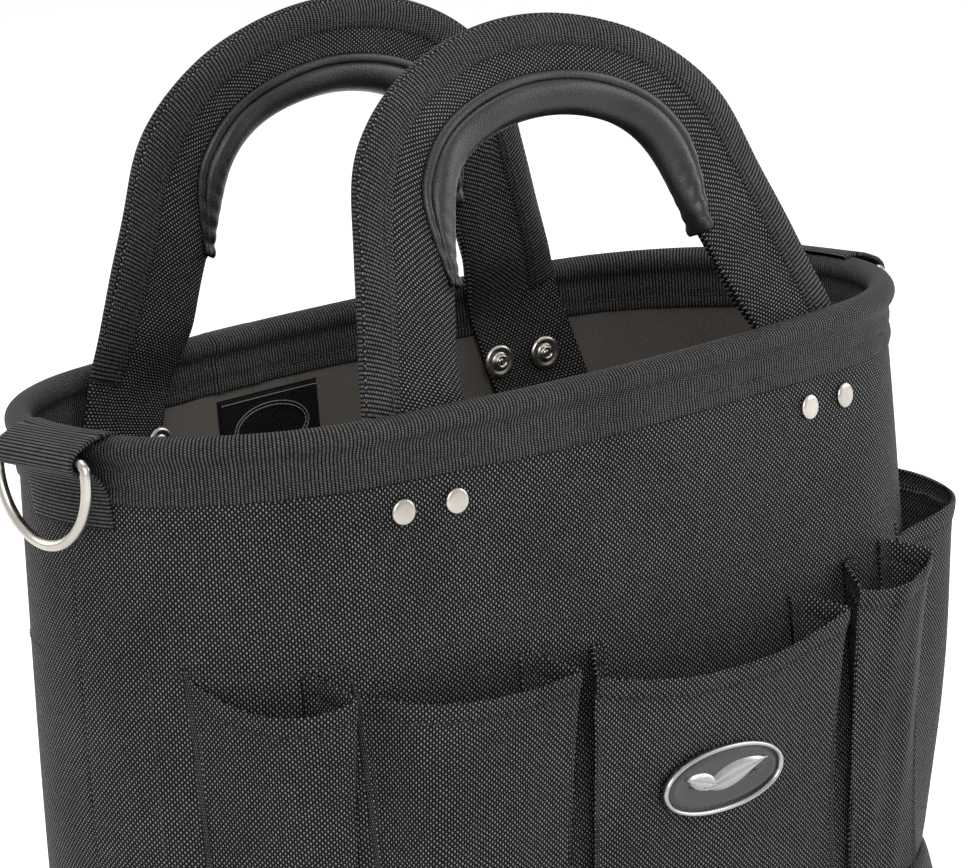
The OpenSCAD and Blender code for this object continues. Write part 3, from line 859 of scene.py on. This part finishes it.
inner_lines = []
for name, front, node in (("inside_pocket_front", True, "inner_pocket_front"),
                          ("inside_pocket_rear", False, "inner_pocket_rear")):
    ends = sorted((arc_at_x(-0.108, front), arc_at_x(0.108, front)))
    line, _ = pocket(name, ends[0], ends[1], (-0.105, -0.108, -0.105), 0.0065, node, flat_left=0.85,
                     flat_right=0.85, droop=0.0015, body=lining_wall, inner=True, cloth=lining_cloth,
                     seed=5)
    inner_lines.append(line)
inner_stitches = stitch("inside_stitches", inner_lines, grey_thread, thick=0.0005)
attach(inner_stitches, "bag")


# ---- Handles ----------------------------------------------------------------------
# Two stiff padded arches of the outer cloth over a foam core. Webbing is folded over
# the outer edge and sewn, and a leather grip is wrapped over the inner edge of the
# crown. The legs run down inside the rim, where rivets hold them through the wall.
HALF_FOOT = 0.119
LEG_WIDTH = 0.045
LEG_FLARE = 0.30
STRAIGHT = 0.064
ARCH_POWER = 1.92
HANDLE_TOP = 0.130
FOOT_Y = 0.081
PIVOT_Z = RIM_Z + 0.004
TAB_DEPTH = 0.060
HANDLE_HALF = 0.004
TAB_INSET = 0.0125
REAR_CROWN = 0.972
TAPE_WIDTH = 0.0150
GRIP_WIDTH = 0.0165
GRIP_START = 0.064
RISING = 60


def arch_edge(angle_steps, leg_steps, inset):
    """One edge of the arch, from the left tab's foot over the crown to the right
    tab's foot, as (x, height above the pivot)."""
    foot = HALF_FOOT - inset
    top = HANDLE_TOP - inset * 0.84
    shoulder = foot - LEG_FLARE * STRAIGHT
    low = np.linspace(-TAB_DEPTH - 0.002, STRAIGHT, leg_steps, endpoint=False)
    a = np.linspace(0, math.pi / 2, angle_steps)
    x = np.concatenate([foot - LEG_FLARE * low, shoulder * np.cos(a) ** (2 / ARCH_POWER)])
    v = np.concatenate([low, STRAIGHT + (top - STRAIGHT) * np.sin(a) ** (2 / ARCH_POWER)])
    x[-1] = 0
    right = np.stack([x, v], -1)
    edge = np.concatenate([right * (-1, 1), right[-2::-1]])
    # Resampled evenly and eased, so the leg runs into the shoulder without a corner.
    run = run_along(edge)
    even = np.linspace(0, run[-1], 2 * (angle_steps + leg_steps))
    edge = np.stack([np.interp(even, run, edge[:, k]) for k in range(2)], -1)
    reach = 10
    window = np.hanning(2 * reach + 3)[1:-1]
    window /= window.sum()
    eased = np.stack([np.convolve(edge[:, k], window, "valid") for k in range(2)], -1)
    return np.concatenate([edge[:1], eased, edge[-1:]])


ARCH_STEPS, LEG_STEPS = 60, 44
outer_edge = arch_edge(ARCH_STEPS, LEG_STEPS, 0.0)
inner_edge = arch_edge(ARCH_STEPS, LEG_STEPS, LEG_WIDTH)
arch_run = run_along((outer_edge + inner_edge) / 2)
ARCH_LENGTH = float(arch_run[-1])


def stood(points, lean, side):
    """Stands the flat handle (x, height, outward) over the rim. The legs below the
    rim bend round to lie against the inside of the wall."""
    x, v, w = points[..., 0], points[..., 1], points[..., 2]
    if side > 0:
        v = np.where(v > 0, v * REAR_CROWN, v)
    tilt = math.radians(lean)
    up_y = -FOOT_Y + v * math.sin(tilt) - w * math.cos(tilt)
    up_z = PIVOT_Z + v * math.cos(tilt) + w * math.sin(tilt)
    wall_y = SIDE_RADIUS - HALF_DEPTH - np.sqrt((SIDE_RADIUS - TAB_INSET) ** 2 - x**2)
    low_y = wall_y - w
    low_z = PIVOT_Z + v
    share = smooth_step((v + 0.028) / 0.036)
    y = low_y * (1 - share) + up_y * share
    z = low_z * (1 - share) + up_z * share
    if side < 0:
        return np.stack([x, y, z], -1)
    return np.stack([-x, -y, z], -1)


def arch_point(run, share, w):
    """A point of the flat handle: run along it, share of the way from the outer edge
    to the inner, w out of its middle plane."""
    o = np.stack([np.interp(run, arch_run, outer_edge[:, k]) for k in range(2)], -1)
    i = np.stack([np.interp(run, arch_run, inner_edge[:, k]) for k in range(2)], -1)
    flat = o + (i - o) * np.asarray(share)[..., None]
    return np.concatenate([flat, np.asarray(w)[..., None] + 0 * flat[..., :1]], -1)


def edge_share(distance):
    """Share of the band's width at a distance from its outer edge."""
    return distance / LEG_WIDTH


def pad_height(run, share):
    """Half thickness of the padded band: full in the middle and pinched at both edges."""
    crown = np.clip(np.minimum(share, 1 - share) / 0.20, 0, 1) ** 0.5
    soft = 0.0003 * np.sin(run * 90) * np.sin(share * 9) + 0.00025 * np.sin(run * 141 + share * 5)
    thin = 0.55 + 0.45 * smooth_step((np.minimum(run, ARCH_LENGTH - run) - 0.045) / 0.03)
    return (HANDLE_HALF * (0.42 + 0.58 * crown) + soft) * thin


def handle(prefix, lean, side, tab_node):
    """One handle: band, edge webbing, leather grip and their seams. Its leather grip and the grip's seam go
    on a body of its own.
    prefix names its body and its CAD nodes; side is -1 in front and 1 behind."""
    def move(run, share, w):
        run, share, w = np.broadcast_arrays(run, share, w)
        return stood(arch_point(run, share, w), lean, side)

    def wrap_cloth(name, rows, material, thickness, length_first):
        """Cloth wrapped over an edge, one row of points for each step of its profile."""
        points = np.stack(rows, 1)
        along = np.repeat(runs[:, None], len(rows), 1)
        around = np.repeat(run_along(points[len(runs) // 2])[None], len(runs), 0)
        u, v = (along, around) if length_first else (around, along)
        wrapped = cloth_grid(prefix + name, points, u, v, material, thickness)
        wrapped.data.flip_normals()
        return wrapped

    # The band itself: outside face, inner edge, inside face, outer edge.
    runs = np.linspace(0, ARCH_LENGTH, 240)
    face = np.linspace(0.004, 0.996, 30)
    loop_share = np.concatenate([face, [1.0], face[::-1], [0.0]])
    loop_side = np.concatenate([np.ones(30), [0.0], -np.ones(30), [0.0]])
    r, sh = np.meshgrid(runs, loop_share, indexing="ij")
    w = pad_height(r, sh) * loop_side[None]
    points = move(r, sh, w)
    flat_width = np.concatenate([[0], np.cumsum(np.abs(np.diff(loop_share)) * LEG_WIDTH + 0.0002)])
    columns = len(loop_share)
    faces = grid_faces(len(runs), columns, wrap=True, flip=True)
    faces += [tuple(range(columns)), tuple((len(runs) - 1) * columns + j for j in range(columns))[::-1]]
    uv = np.stack([r, np.broadcast_to(flat_width[None], r.shape)], -1).reshape(-1, 2)
    band = make_piece(prefix + "_band", points.reshape(-1, 3), faces, uv, outer_cloth)
    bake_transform(band)
    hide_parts(prefix + "_cover", prefix + "_core", tab_node)

    # Webbing folded over the outer edge, from one rim crossing to the other.
    prof = [(TAPE_WIDTH, 0.0), (TAPE_WIDTH, 0.8), (TAPE_WIDTH - 0.0006, 1.0), (TAPE_WIDTH * 0.8, 1.0),
            (TAPE_WIDTH * 0.55, 1.0), (TAPE_WIDTH * 0.3, 0.97), (TAPE_WIDTH * 0.1, 0.8), (-0.0002, 0.5),
            (-0.0009, 0.0)]
    prof += [(a, -b) for a, b in prof[-2::-1]]
    rising_height = outer_edge[:RISING, 1]
    low_run = float(np.interp(TAB_DEPTH - 0.006, rising_height - rising_height[0], arch_run[:RISING]))
    runs = np.linspace(low_run, ARCH_LENGTH - low_run, 230)
    rows = []
    for distance, lift in prof:
        sh = np.full_like(runs, edge_share(distance))
        under = pad_height(runs, np.clip(sh, 0, 1))
        pinch = 0.00035 * np.exp(-(((distance - TAPE_WIDTH + 0.0035) / 0.0014) ** 2))
        rows.append(move(runs, sh, (under + 0.0009 - pinch) * lift))
    tape = wrap_cloth("_edge", rows, webbing, 0.0008, True)
    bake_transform(tape)
    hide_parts(prefix + "_binding")

    # The leather grip wraps the inner edge of the crown; its ends are pinched in folds.
    grip_run = float(np.interp(GRIP_START, rising_height, arch_run[:RISING]))
    runs = np.linspace(grip_run, ARCH_LENGTH - grip_run, 200)
    end_gap = np.minimum(runs - runs[0], runs[-1] - runs)
    tapered = 0.15 + 0.85 * smooth_step(end_gap / 0.034) ** 0.7
    prof = [(0.0, 0.55), (0.004, 0.85), (0.03, 0.9), (0.1, 0.92), (0.17, 0.93), (0.215, 0.86), (0.26, 0.95),
            (0.36, 1.08), (0.5, 1.14), (0.7, 1.12), (0.88, 1.0), (0.97, 0.8), (1.02, 0.45), (1.045, 0.0)]
    prof += [(t, -lift) for t, lift in prof[-2::-1]]
    rows = []
    for t, lift in prof:
        inset = LEG_WIDTH - GRIP_WIDTH * (1 - t) * tapered
        sh = edge_share(inset)
        under = pad_height(runs, np.clip(sh, 0, 1))
        fold = 0.0012 * np.exp(-((end_gap / 0.006) ** 2))
        fold = fold + 0.0007 * np.sin(end_gap * 900) * np.exp(-end_gap / 0.012)
        pinch = 0.0006 * math.exp(-(((t - 0.2) / 0.07) ** 2))
        rows.append(move(runs, sh, (under + 0.0014 - pinch + fold) * lift))
    grip = wrap_cloth("_leather", rows, leather, 0.0012, False)
    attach(grip, prefix)
    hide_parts(prefix + "_grip")

    # Seams: one through the edge webbing, one round the leather.
    seam_runs = np.linspace(low_run, ARCH_LENGTH - low_run, 400)
    lines, grip_lines = [], []
    for face_side in (1, -1):
        sh = np.full_like(seam_runs, edge_share(TAPE_WIDTH - 0.0035))
        lines.append(move(seam_runs, sh, (pad_height(seam_runs, sh) + 0.0008) * face_side))
        sh = edge_share(LEG_WIDTH - GRIP_WIDTH * 0.785 * tapered)
        grip_lines.append(move(runs, sh, (pad_height(runs, sh) + 0.0012) * face_side))
    seam = stitch(prefix + "_edge_stitches", lines, black_thread_and_seam_shade, pitch=0.0036, length=0.0029, thick=0.0006)
    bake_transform(seam)
    seam = stitch(prefix + "_grip_stitches", grip_lines, black_thread_and_seam_shade, pitch=0.0048, length=0.0036,
                  thick=0.0007)
    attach(seam, prefix)


def build_leather():
    """Grained leather: small cells of raised skin between fine creases."""
    material, s, skin = new_material("grip_leather")
    place = s.add("ShaderNodeTexCoord").outputs["Object"]
    cells = s.add("ShaderNodeTexVoronoi", feature="DISTANCE_TO_EDGE")
    s.put(cells.inputs["Vector"], place)
    cells.inputs["Scale"].default_value = 700.0
    grain = s.ramp(cells.outputs["Distance"], 0.0, 0.25)
    folds = s.noise(place, 60.0, 4.0)
    dark, light = (0.004, 0.004, 0.004, 1), (0.007, 0.007, 0.007, 1)
    s.put(skin.inputs["Base Color"], s.mix(s.ramp(folds, 0.3, 0.7), dark, light))
    skin.inputs["Specular IOR Level"].default_value = 0.4
    s.put(skin.inputs["Roughness"], s.ramp(folds, 0.3, 0.7, 0.34, 0.46))
    height = s.plus(s.times(grain, 0.5), folds)
    s.bump(skin, height, 0.35, 0.0003)
    return material


leather = build_leather()
handle("front_handle", 17.5, -1, "front_leg_tabs")
handle("rear_handle", 5.0, 1, "rear_leg_tabs")


# ---- Rivets -----------------------------------------------------------------------
# Bright nickel caps outside, and dished washers round a hollow stem inside, hold
# each leg in two places. A node tree sets one at each point, facing out of the wall.
def build_setter():
    """A tree that sets one item at each point, turned to the point's facing."""
    tree, s, given, out = new_group(
        "set_on_points", [("Geometry", "Geometry"), ("Item", "Object"), ("Finish", "Material")],
        [("Geometry", "Geometry")], "GeometryNodeTree")
    item = s.add("GeometryNodeObjectInfo")
    s.put(item.inputs["Object"], given["Item"])
    facing = s.add("GeometryNodeInputNamedAttribute", data_type="FLOAT_VECTOR")
    facing.inputs["Name"].default_value = "facing"
    turn = s.add("FunctionNodeAlignEulerToVector", axis="Z")
    s.put(turn.inputs["Vector"], facing.outputs["Attribute"])
    lay = s.add("GeometryNodeInstanceOnPoints")
    s.put(lay.inputs["Points"], given["Geometry"])
    s.put(lay.inputs["Instance"], item.outputs["Geometry"])
    s.put(lay.inputs["Rotation"], turn.outputs[0])
    real = s.add("GeometryNodeRealizeInstances")
    s.put(real.inputs[0], lay.outputs[0])
    paint = s.add("GeometryNodeSetMaterial")
    s.put(paint.inputs["Geometry"], real.outputs[0])
    s.put(paint.inputs["Material"], given["Finish"])
    s.put(out["Geometry"], paint.outputs[0])
    return tree


def lathe(name, profile, steps=48):
    """A turned shape from (radius, height) pairs; closed where the radius is zero."""
    points, rows = [], []
    for r, z in profile:
        if r == 0:
            rows.append([len(points)])
            points.append((0, 0, z))
        else:
            rows.append(list(range(len(points), len(points) + steps)))
            turn = np.linspace(0, 2 * math.pi, steps, endpoint=False)
            points += [(r * math.cos(a), r * math.sin(a), z) for a in turn]
    faces = []
    for low, high in zip(rows, rows[1:]):
        for j in range(steps):
            k = (j + 1) % steps
            if len(low) == 1:
                faces.append((low[0], high[k], high[j]))
            elif len(high) == 1:
                faces.append((low[j], low[k], high[0]))
            else:
                faces.append((low[j], low[k], high[k], high[j]))
    return make_piece(name, points, faces)


def build_metal(name, colour, rough):
    """Brushed and lightly worn plated metal."""
    material, s, skin = new_material(name)
    place = s.add("ShaderNodeTexCoord").outputs["Object"]
    wear = s.noise(place, 260.0, 5.0)
    broad = s.noise(place, 45.0, 2.0)
    dark = tuple(c * 0.82 for c in colour) + (1,)
    s.put(skin.inputs["Base Color"], s.mix(s.ramp(broad, 0.3, 0.7), dark, colour + (1,)))
    s.put(skin.inputs["Roughness"], s.ramp(wear, 0.3, 0.75, rough - 0.06, rough + 0.10))
    skin.inputs["Metallic"].default_value = 1.0
    s.bump(skin, wear, 0.08, 0.0001)
    return material


nickel = build_metal("nickel", (0.46, 0.43, 0.39), 0.27)
setter = build_setter()
RIVET_Z = RIM_Z - 0.036
rivet_places, rivet_facing = [], []
for front in (True, False):
    for x in (-0.115, -0.092, 0.092, 0.115):
        px, py, nx, ny = plan_point(arc_at_x(x, front), WALL_INSET)
        rivet_places.append((float(px), float(py), RIVET_Z))
        rivet_facing.append((float(nx), float(ny), 0.0))


def set_rivets(name, profile, out_by):
    """One turned rivet part at every place, stood off the wall's plan by out_by."""
    item = lathe(name + "_shape", profile)
    points = [tuple(np.array(p) + out_by * np.array(n)) for p, n in zip(rivet_places, rivet_facing)]
    mesh = bpy.data.meshes.new(name)
    mesh.from_pydata(points, [], [])
    mesh.attributes.new("facing", "FLOAT_VECTOR", "POINT").data.foreach_set("vector", np.ravel(rivet_facing))
    piece = bpy.data.objects.new(name, mesh)
    bpy.context.collection.objects.link(piece)
    live = piece.modifiers.new("setter", "NODES")
    live.node_group = setter
    set_input(live, "Item", item)
    set_input(live, "Finish", nickel)
    apply_modifiers(piece)
    bpy.data.objects.remove(item)
    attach(piece, "bag")
    return piece


CAP_R, CAP_H = 0.0050, 0.0020
STEM = 0.0155
caps = set_rivets("rivet_cap_set", [
    (0, -STEM), (0.0020, -STEM), (0.0020, 0.0001), (CAP_R - 0.0004, 0.0001), (CAP_R, 0.0005), (CAP_R, 0.0011),
    (CAP_R - 0.0002, 0.0015), (CAP_R - 0.0007, 0.0018), (CAP_R * 0.6, 0.00195), (0, CAP_H)], 0.0004)
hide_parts("rivet_caps")
washers = set_rivets("rivet_washer_set", [
    (0.0021, 0.0002), (0.0068, 0.0001), (0.0070, -0.0003), (0.0069, -0.0008), (0.0062, -0.0013),
    (0.0052, -0.0014), (0.0044, -0.0008), (0.0036, -0.0009), (0.0031, -0.0018), (0.0028, -0.0026),
    (0.0023, -0.0028), (0.0018, -0.0025), (0.0016, -0.0016), (0, -0.0012)], -0.0130)
washers.data.flip_normals()
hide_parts("rivet_washers")


# ---- Ring loops -------------------------------------------------------------------
# At each end a length of ribbed webbing starts on the rim, goes out and down round
# the ring's bar, and comes back under itself to be sewn flat to the wall.
BAR_X = (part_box("right_d_ring")[0].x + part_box("right_d_ring")[1].x) / 2
BAR_Z = RIM_Z - 0.008
WIRE_R = 0.0022
LOOP_HALF = 0.024
LOOP_BEND = 0.0046
strap_path = [(HALF_LENGTH - 0.0090, RIM_Z + 0.0006), (HALF_LENGTH - 0.0055, RIM_Z + 0.0016),
              (HALF_LENGTH - 0.001, RIM_Z + 0.0010), (HALF_LENGTH + 0.004, RIM_Z - 0.0010),
              (BAR_X + 0.0012, BAR_Z + 0.0052)]
for angle in np.radians(np.linspace(50, -120, 12)):
    strap_path.append((BAR_X + LOOP_BEND * math.cos(angle), BAR_Z + LOOP_BEND * math.sin(angle)))
strap_path += [(HALF_LENGTH + 0.0022, BAR_Z - 0.0062), (HALF_LENGTH - 0.0002, BAR_Z - 0.0092),
               (HALF_LENGTH - 0.0012, BAR_Z - 0.0125), (HALF_LENGTH - 0.0016, RIM_Z - 0.0270),
               (HALF_LENGTH - 0.0021, RIM_Z - 0.0310), (HALF_LENGTH - 0.0023, RIM_Z - 0.0350)]


def smooth_path(path, steps):
    """Even points along a gently rounded version of a path."""
    path = np.array(path, float)
    for _ in range(2):
        cut = np.empty((2 * len(path) - 2, path.shape[1]))
        cut[0::2] = path[:-1] * 0.75 + path[1:] * 0.25
        cut[1::2] = path[:-1] * 0.25 + path[1:] * 0.75
        path = np.concatenate([path[:1], cut, path[-1:]])
    run = run_along(path)
    at = np.linspace(0, run[-1], steps)
    return np.stack([np.interp(at, run, path[:, k]) for k in range(path.shape[1])], -1), at


strap_line, strap_run = smooth_path(strap_path, 110)
LOOP_COLUMNS = 25
strap_y = np.linspace(-LOOP_HALF, LOOP_HALF, LOOP_COLUMNS)
for side, prefix in ((-1, "left"), (1, "right")):
    yy, _ = np.meshgrid(strap_y, strap_run)
    xx = np.repeat(strap_line[:, :1], LOOP_COLUMNS, 1)
    zz = np.repeat(strap_line[:, 1:], LOOP_COLUMNS, 1)
    # Away from the bar the webbing follows the round end of the wall.
    follow = np.clip(np.abs(zz - BAR_Z) / 0.012 - 0.3, 0, 1) * (strap_run[:, None] > 0.02) + 1.0 * (
        strap_run[:, None] < 0.008)
    xx = xx - np.clip(follow, 0, 1) * (END_RADIUS - np.sqrt(END_RADIUS**2 - yy**2)) * 0.98
    points = np.stack([side * xx, yy, zz], -1)
    run_grid = np.repeat(strap_run[:, None], LOOP_COLUMNS, 1)
    strap = cloth_grid(prefix + "_loop", points, run_grid, yy, webbing, 0.0014, flip=side > 0)
    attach(strap, "bag")
    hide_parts(prefix + "_strap_loop")


# ---- Carry rings ------------------------------------------------------------------
# A D of round nickel wire, bent to a half circle and joined along its straight bar.
# The bar lies in its webbing loop and turns there.
RING_R = 0.0272
RING_DROP = 0.006
for side, prefix in ((-1, "left"), (1, "right")):
    line = [(BAR_X, y, BAR_Z) for y in np.linspace(RING_R - 0.002, 0.002 - RING_R, 12)]
    line += [(BAR_X, -RING_R, BAR_Z - d) for d in (0.002, 0.004)]
    for a in np.radians(np.linspace(180, 360, 48)):
        line.append((BAR_X, RING_R * math.cos(a), BAR_Z - RING_DROP + RING_R * math.sin(a)))
    line += [(BAR_X, RING_R, BAR_Z - d) for d in (0.004, 0.002)]
    line = [(side * x, y, z) for x, y, z in line]
    ring = tube_along(prefix + "_ring", line, WIRE_R, nickel, sides=20)
    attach(ring, prefix + "_ring")
    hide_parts(prefix + "_d_ring")


# ---- Inside patch -----------------------------------------------------------------
# A black cloth patch sewn high on the rear lining, with a plain oval sewn on it.
patch_low, patch_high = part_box("inner_patch")
PATCH_STAND = 0.0010
ends = sorted((arc_at_x(patch_low.x, False), arc_at_x(patch_high.x, False)))
s_grid, z_grid = np.meshgrid(np.linspace(ends[0], ends[1], 40), np.linspace(patch_low.z, patch_high.z, 24))
edge = np.minimum(np.minimum(s_grid - ends[0], ends[1] - s_grid),
                  np.minimum(z_grid - patch_low.z, patch_high.z - z_grid))
patch_points = lining_wall(s_grid, z_grid, 0.0003 + PATCH_STAND * np.clip(edge / 0.0012, 0, 1))
# Painted shade: the patch cloth's gap colour darkens the hollows between its threads.
PATCH_GAP_SHADE, PATCH_THREAD = (0.0012, 0.0012, 0.0013, 1), (0.010, 0.010, 0.0105, 1)
patch_cloth = cloth_material("patch_cloth", crossed_threads, 0.0006, 0.0006, PATCH_GAP_SHADE, PATCH_THREAD,
                             rough=0.6)
patch = cloth_grid("lining_patch", patch_points, s_grid, z_grid, patch_cloth, 0.0007, flip=True)
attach(patch, "bag")
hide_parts("inner_patch")
mid_s, mid_z = (ends[0] + ends[1]) / 2, (patch_low.z + patch_high.z) / 2
turn = np.linspace(0, 2 * math.pi, 90)
oval_lines = [lining_wall(mid_s + rx * np.cos(turn), mid_z + rz * np.sin(turn), PATCH_STAND + 0.0007)
              for rx, rz in ((0.0200, 0.0100), (0.0185, 0.0086))]
oval_lines.append(lining_wall(np.linspace(ends[0] + 0.002, ends[1] - 0.002, 40),
                              np.full(40, patch_high.z - 0.002), PATCH_STAND + 0.0006))
patch_stitches = stitch("patch_stitches", oval_lines, grey_thread, pitch=0.0016, length=0.0019, thick=0.0006)
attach(patch_stitches, "bag")


# ---- Badge ------------------------------------------------------------------------
# An oval badge is riveted to the centre pocket: a dark satin plate in a raised bright
# rim, with a small leaf standing up from it.
badge_low, badge_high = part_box("badge_rim")
BADGE_X = (badge_low.x + badge_high.x) / 2
BADGE_Z = (badge_low.z + badge_high.z) / 2
BADGE_HALF = (0.0318, 0.0138)
away = (centre_face[..., 0] - BADGE_X) ** 2 + (centre_face[..., 2] - BADGE_Z) ** 2
away = away + 10 * (centre_face[..., 1] > -0.10)
row, column = np.unravel_index(np.argmin(away), away.shape)
COLUMN_REACH, ROW_REACH = 9, 4
badge_right = Vector(
    centre_face[row, column + COLUMN_REACH] - centre_face[row, column - COLUMN_REACH]).normalized()
badge_up = Vector(centre_face[row + ROW_REACH, column] - centre_face[row - ROW_REACH, column]).normalized()
badge_out = badge_right.cross(badge_up).normalized()
badge_up = badge_out.cross(badge_right)
badge_axes = np.array([badge_right, badge_up, badge_out])
badge_place = np.array((BADGE_X, centre_face[row, column, 1], BADGE_Z)) + 0.0006 * np.array(badge_out)


def on_badge(points):
    """Points given as (right, up, out) of the badge's middle."""
    return badge_place + np.asarray(points, float) @ badge_axes


def badge_ring(t, shrink, height):
    """The badge's outline, a full oval, shrunk inwards and lifted."""
    a, b = BADGE_HALF[0] - shrink, BADGE_HALF[1] - shrink
    c, d = np.cos(t), np.sin(t)
    power = 2 / 2.1
    x, y = a * np.sign(c) * np.abs(c) ** power, b * np.sign(d) * np.abs(d) ** power
    return np.stack([x, y, np.full_like(x, height)], -1)


BADGE_STEPS = 120
turn = np.linspace(0, 2 * math.pi, BADGE_STEPS, endpoint=False)
bevel = [(0.0, -0.0008), (0.0, 0.0012), (0.0003, 0.0019), (0.0008, 0.0023), (0.0014, 0.0022),
         (0.0018, 0.0017), (0.0021, 0.0011), (0.0022, 0.0002)]
rings = np.stack([on_badge(badge_ring(turn, shrink, height)) for shrink, height in bevel])
badge_rim_metal = build_metal("badge_rim_metal", (0.36, 0.36, 0.36), 0.25)
badge_rim = make_piece("badge_frame", rings.reshape(-1, 3), grid_faces(len(bevel), BADGE_STEPS, wrap=True),
                       None, badge_rim_metal)
thicken(badge_rim, 0.0004)
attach(badge_rim, "bag")
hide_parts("badge_rim")

badge_face = speckled("badge_face", (0.016, 0.015, 0.015), 0.34, bump=0.3, scale=1400.0)
dish = [(0.0019, 0.0006), (0.0030, 0.0006), (0.0034, 0.0010), (0.0040, 0.0011), (0.0052, 0.0014),
        (0.0056, 0.0014), (0.0068, 0.0011), (0.0105, 0.0011), (0.0145, 0.0011)]
rings = np.stack([on_badge(badge_ring(turn, shrink, height)) for shrink, height in dish])
points = np.concatenate([rings.reshape(-1, 3), on_badge([[0, 0, 0.0011]])])
faces = grid_faces(len(dish), BADGE_STEPS, wrap=True)
last = (len(dish) - 1) * BADGE_STEPS
faces += [(last + j, last + (j + 1) % BADGE_STEPS, len(points) - 1) for j in range(BADGE_STEPS)]
plate = make_piece("badge_plate_face", points, faces, None, badge_face)
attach(plate, "bag")
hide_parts("badge_plate")


LEAF_COLUMNS = 25
LEAF_SECTION = ((-1, 0.0010), (-0.5, 0.0021), (-0.08, 0.0024), (0, 0.0019), (0.08, 0.0024), (0.5, 0.0021),
                (1, 0.0010))


def leaf(cx, cy, angle, length, width):
    """A pointed leaf, raised beside its midrib, as a grid of points."""
    along = np.linspace(0, 1, LEAF_COLUMNS)
    half = width * np.sin(math.pi * along**0.85) ** 0.9
    pieces = []
    for share, height in LEAF_SECTION:
        x = length * (along - 0.5)
        pieces.append(np.stack([x, half * share, np.full_like(x, height)], -1))
    grid = np.stack(pieces)
    c, d = math.cos(angle), math.sin(angle)
    turned = grid.copy()
    turned[..., 0] = cx + grid[..., 0] * c - grid[..., 1] * d
    turned[..., 1] = cy + grid[..., 0] * d + grid[..., 1] * c
    return on_badge(turned)


leaf_points, leaf_faces = [], []
for cx, cy, angle, length, width in ((0.0060, 0.0012, 0.22, 0.033, 0.0050),
                                     (-0.0120, 0.0012, 2.85, 0.019, 0.0036)):
    grid = leaf(cx, cy, angle, length, width)
    leaf_faces += grid_faces(len(LEAF_SECTION), LEAF_COLUMNS, first=sum(len(p) for p in leaf_points))
    leaf_points.append(grid.reshape(-1, 3))
leaves = make_piece("badge_leaf", np.concatenate(leaf_points), leaf_faces, None, badge_rim_metal)
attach(leaves, "bag")
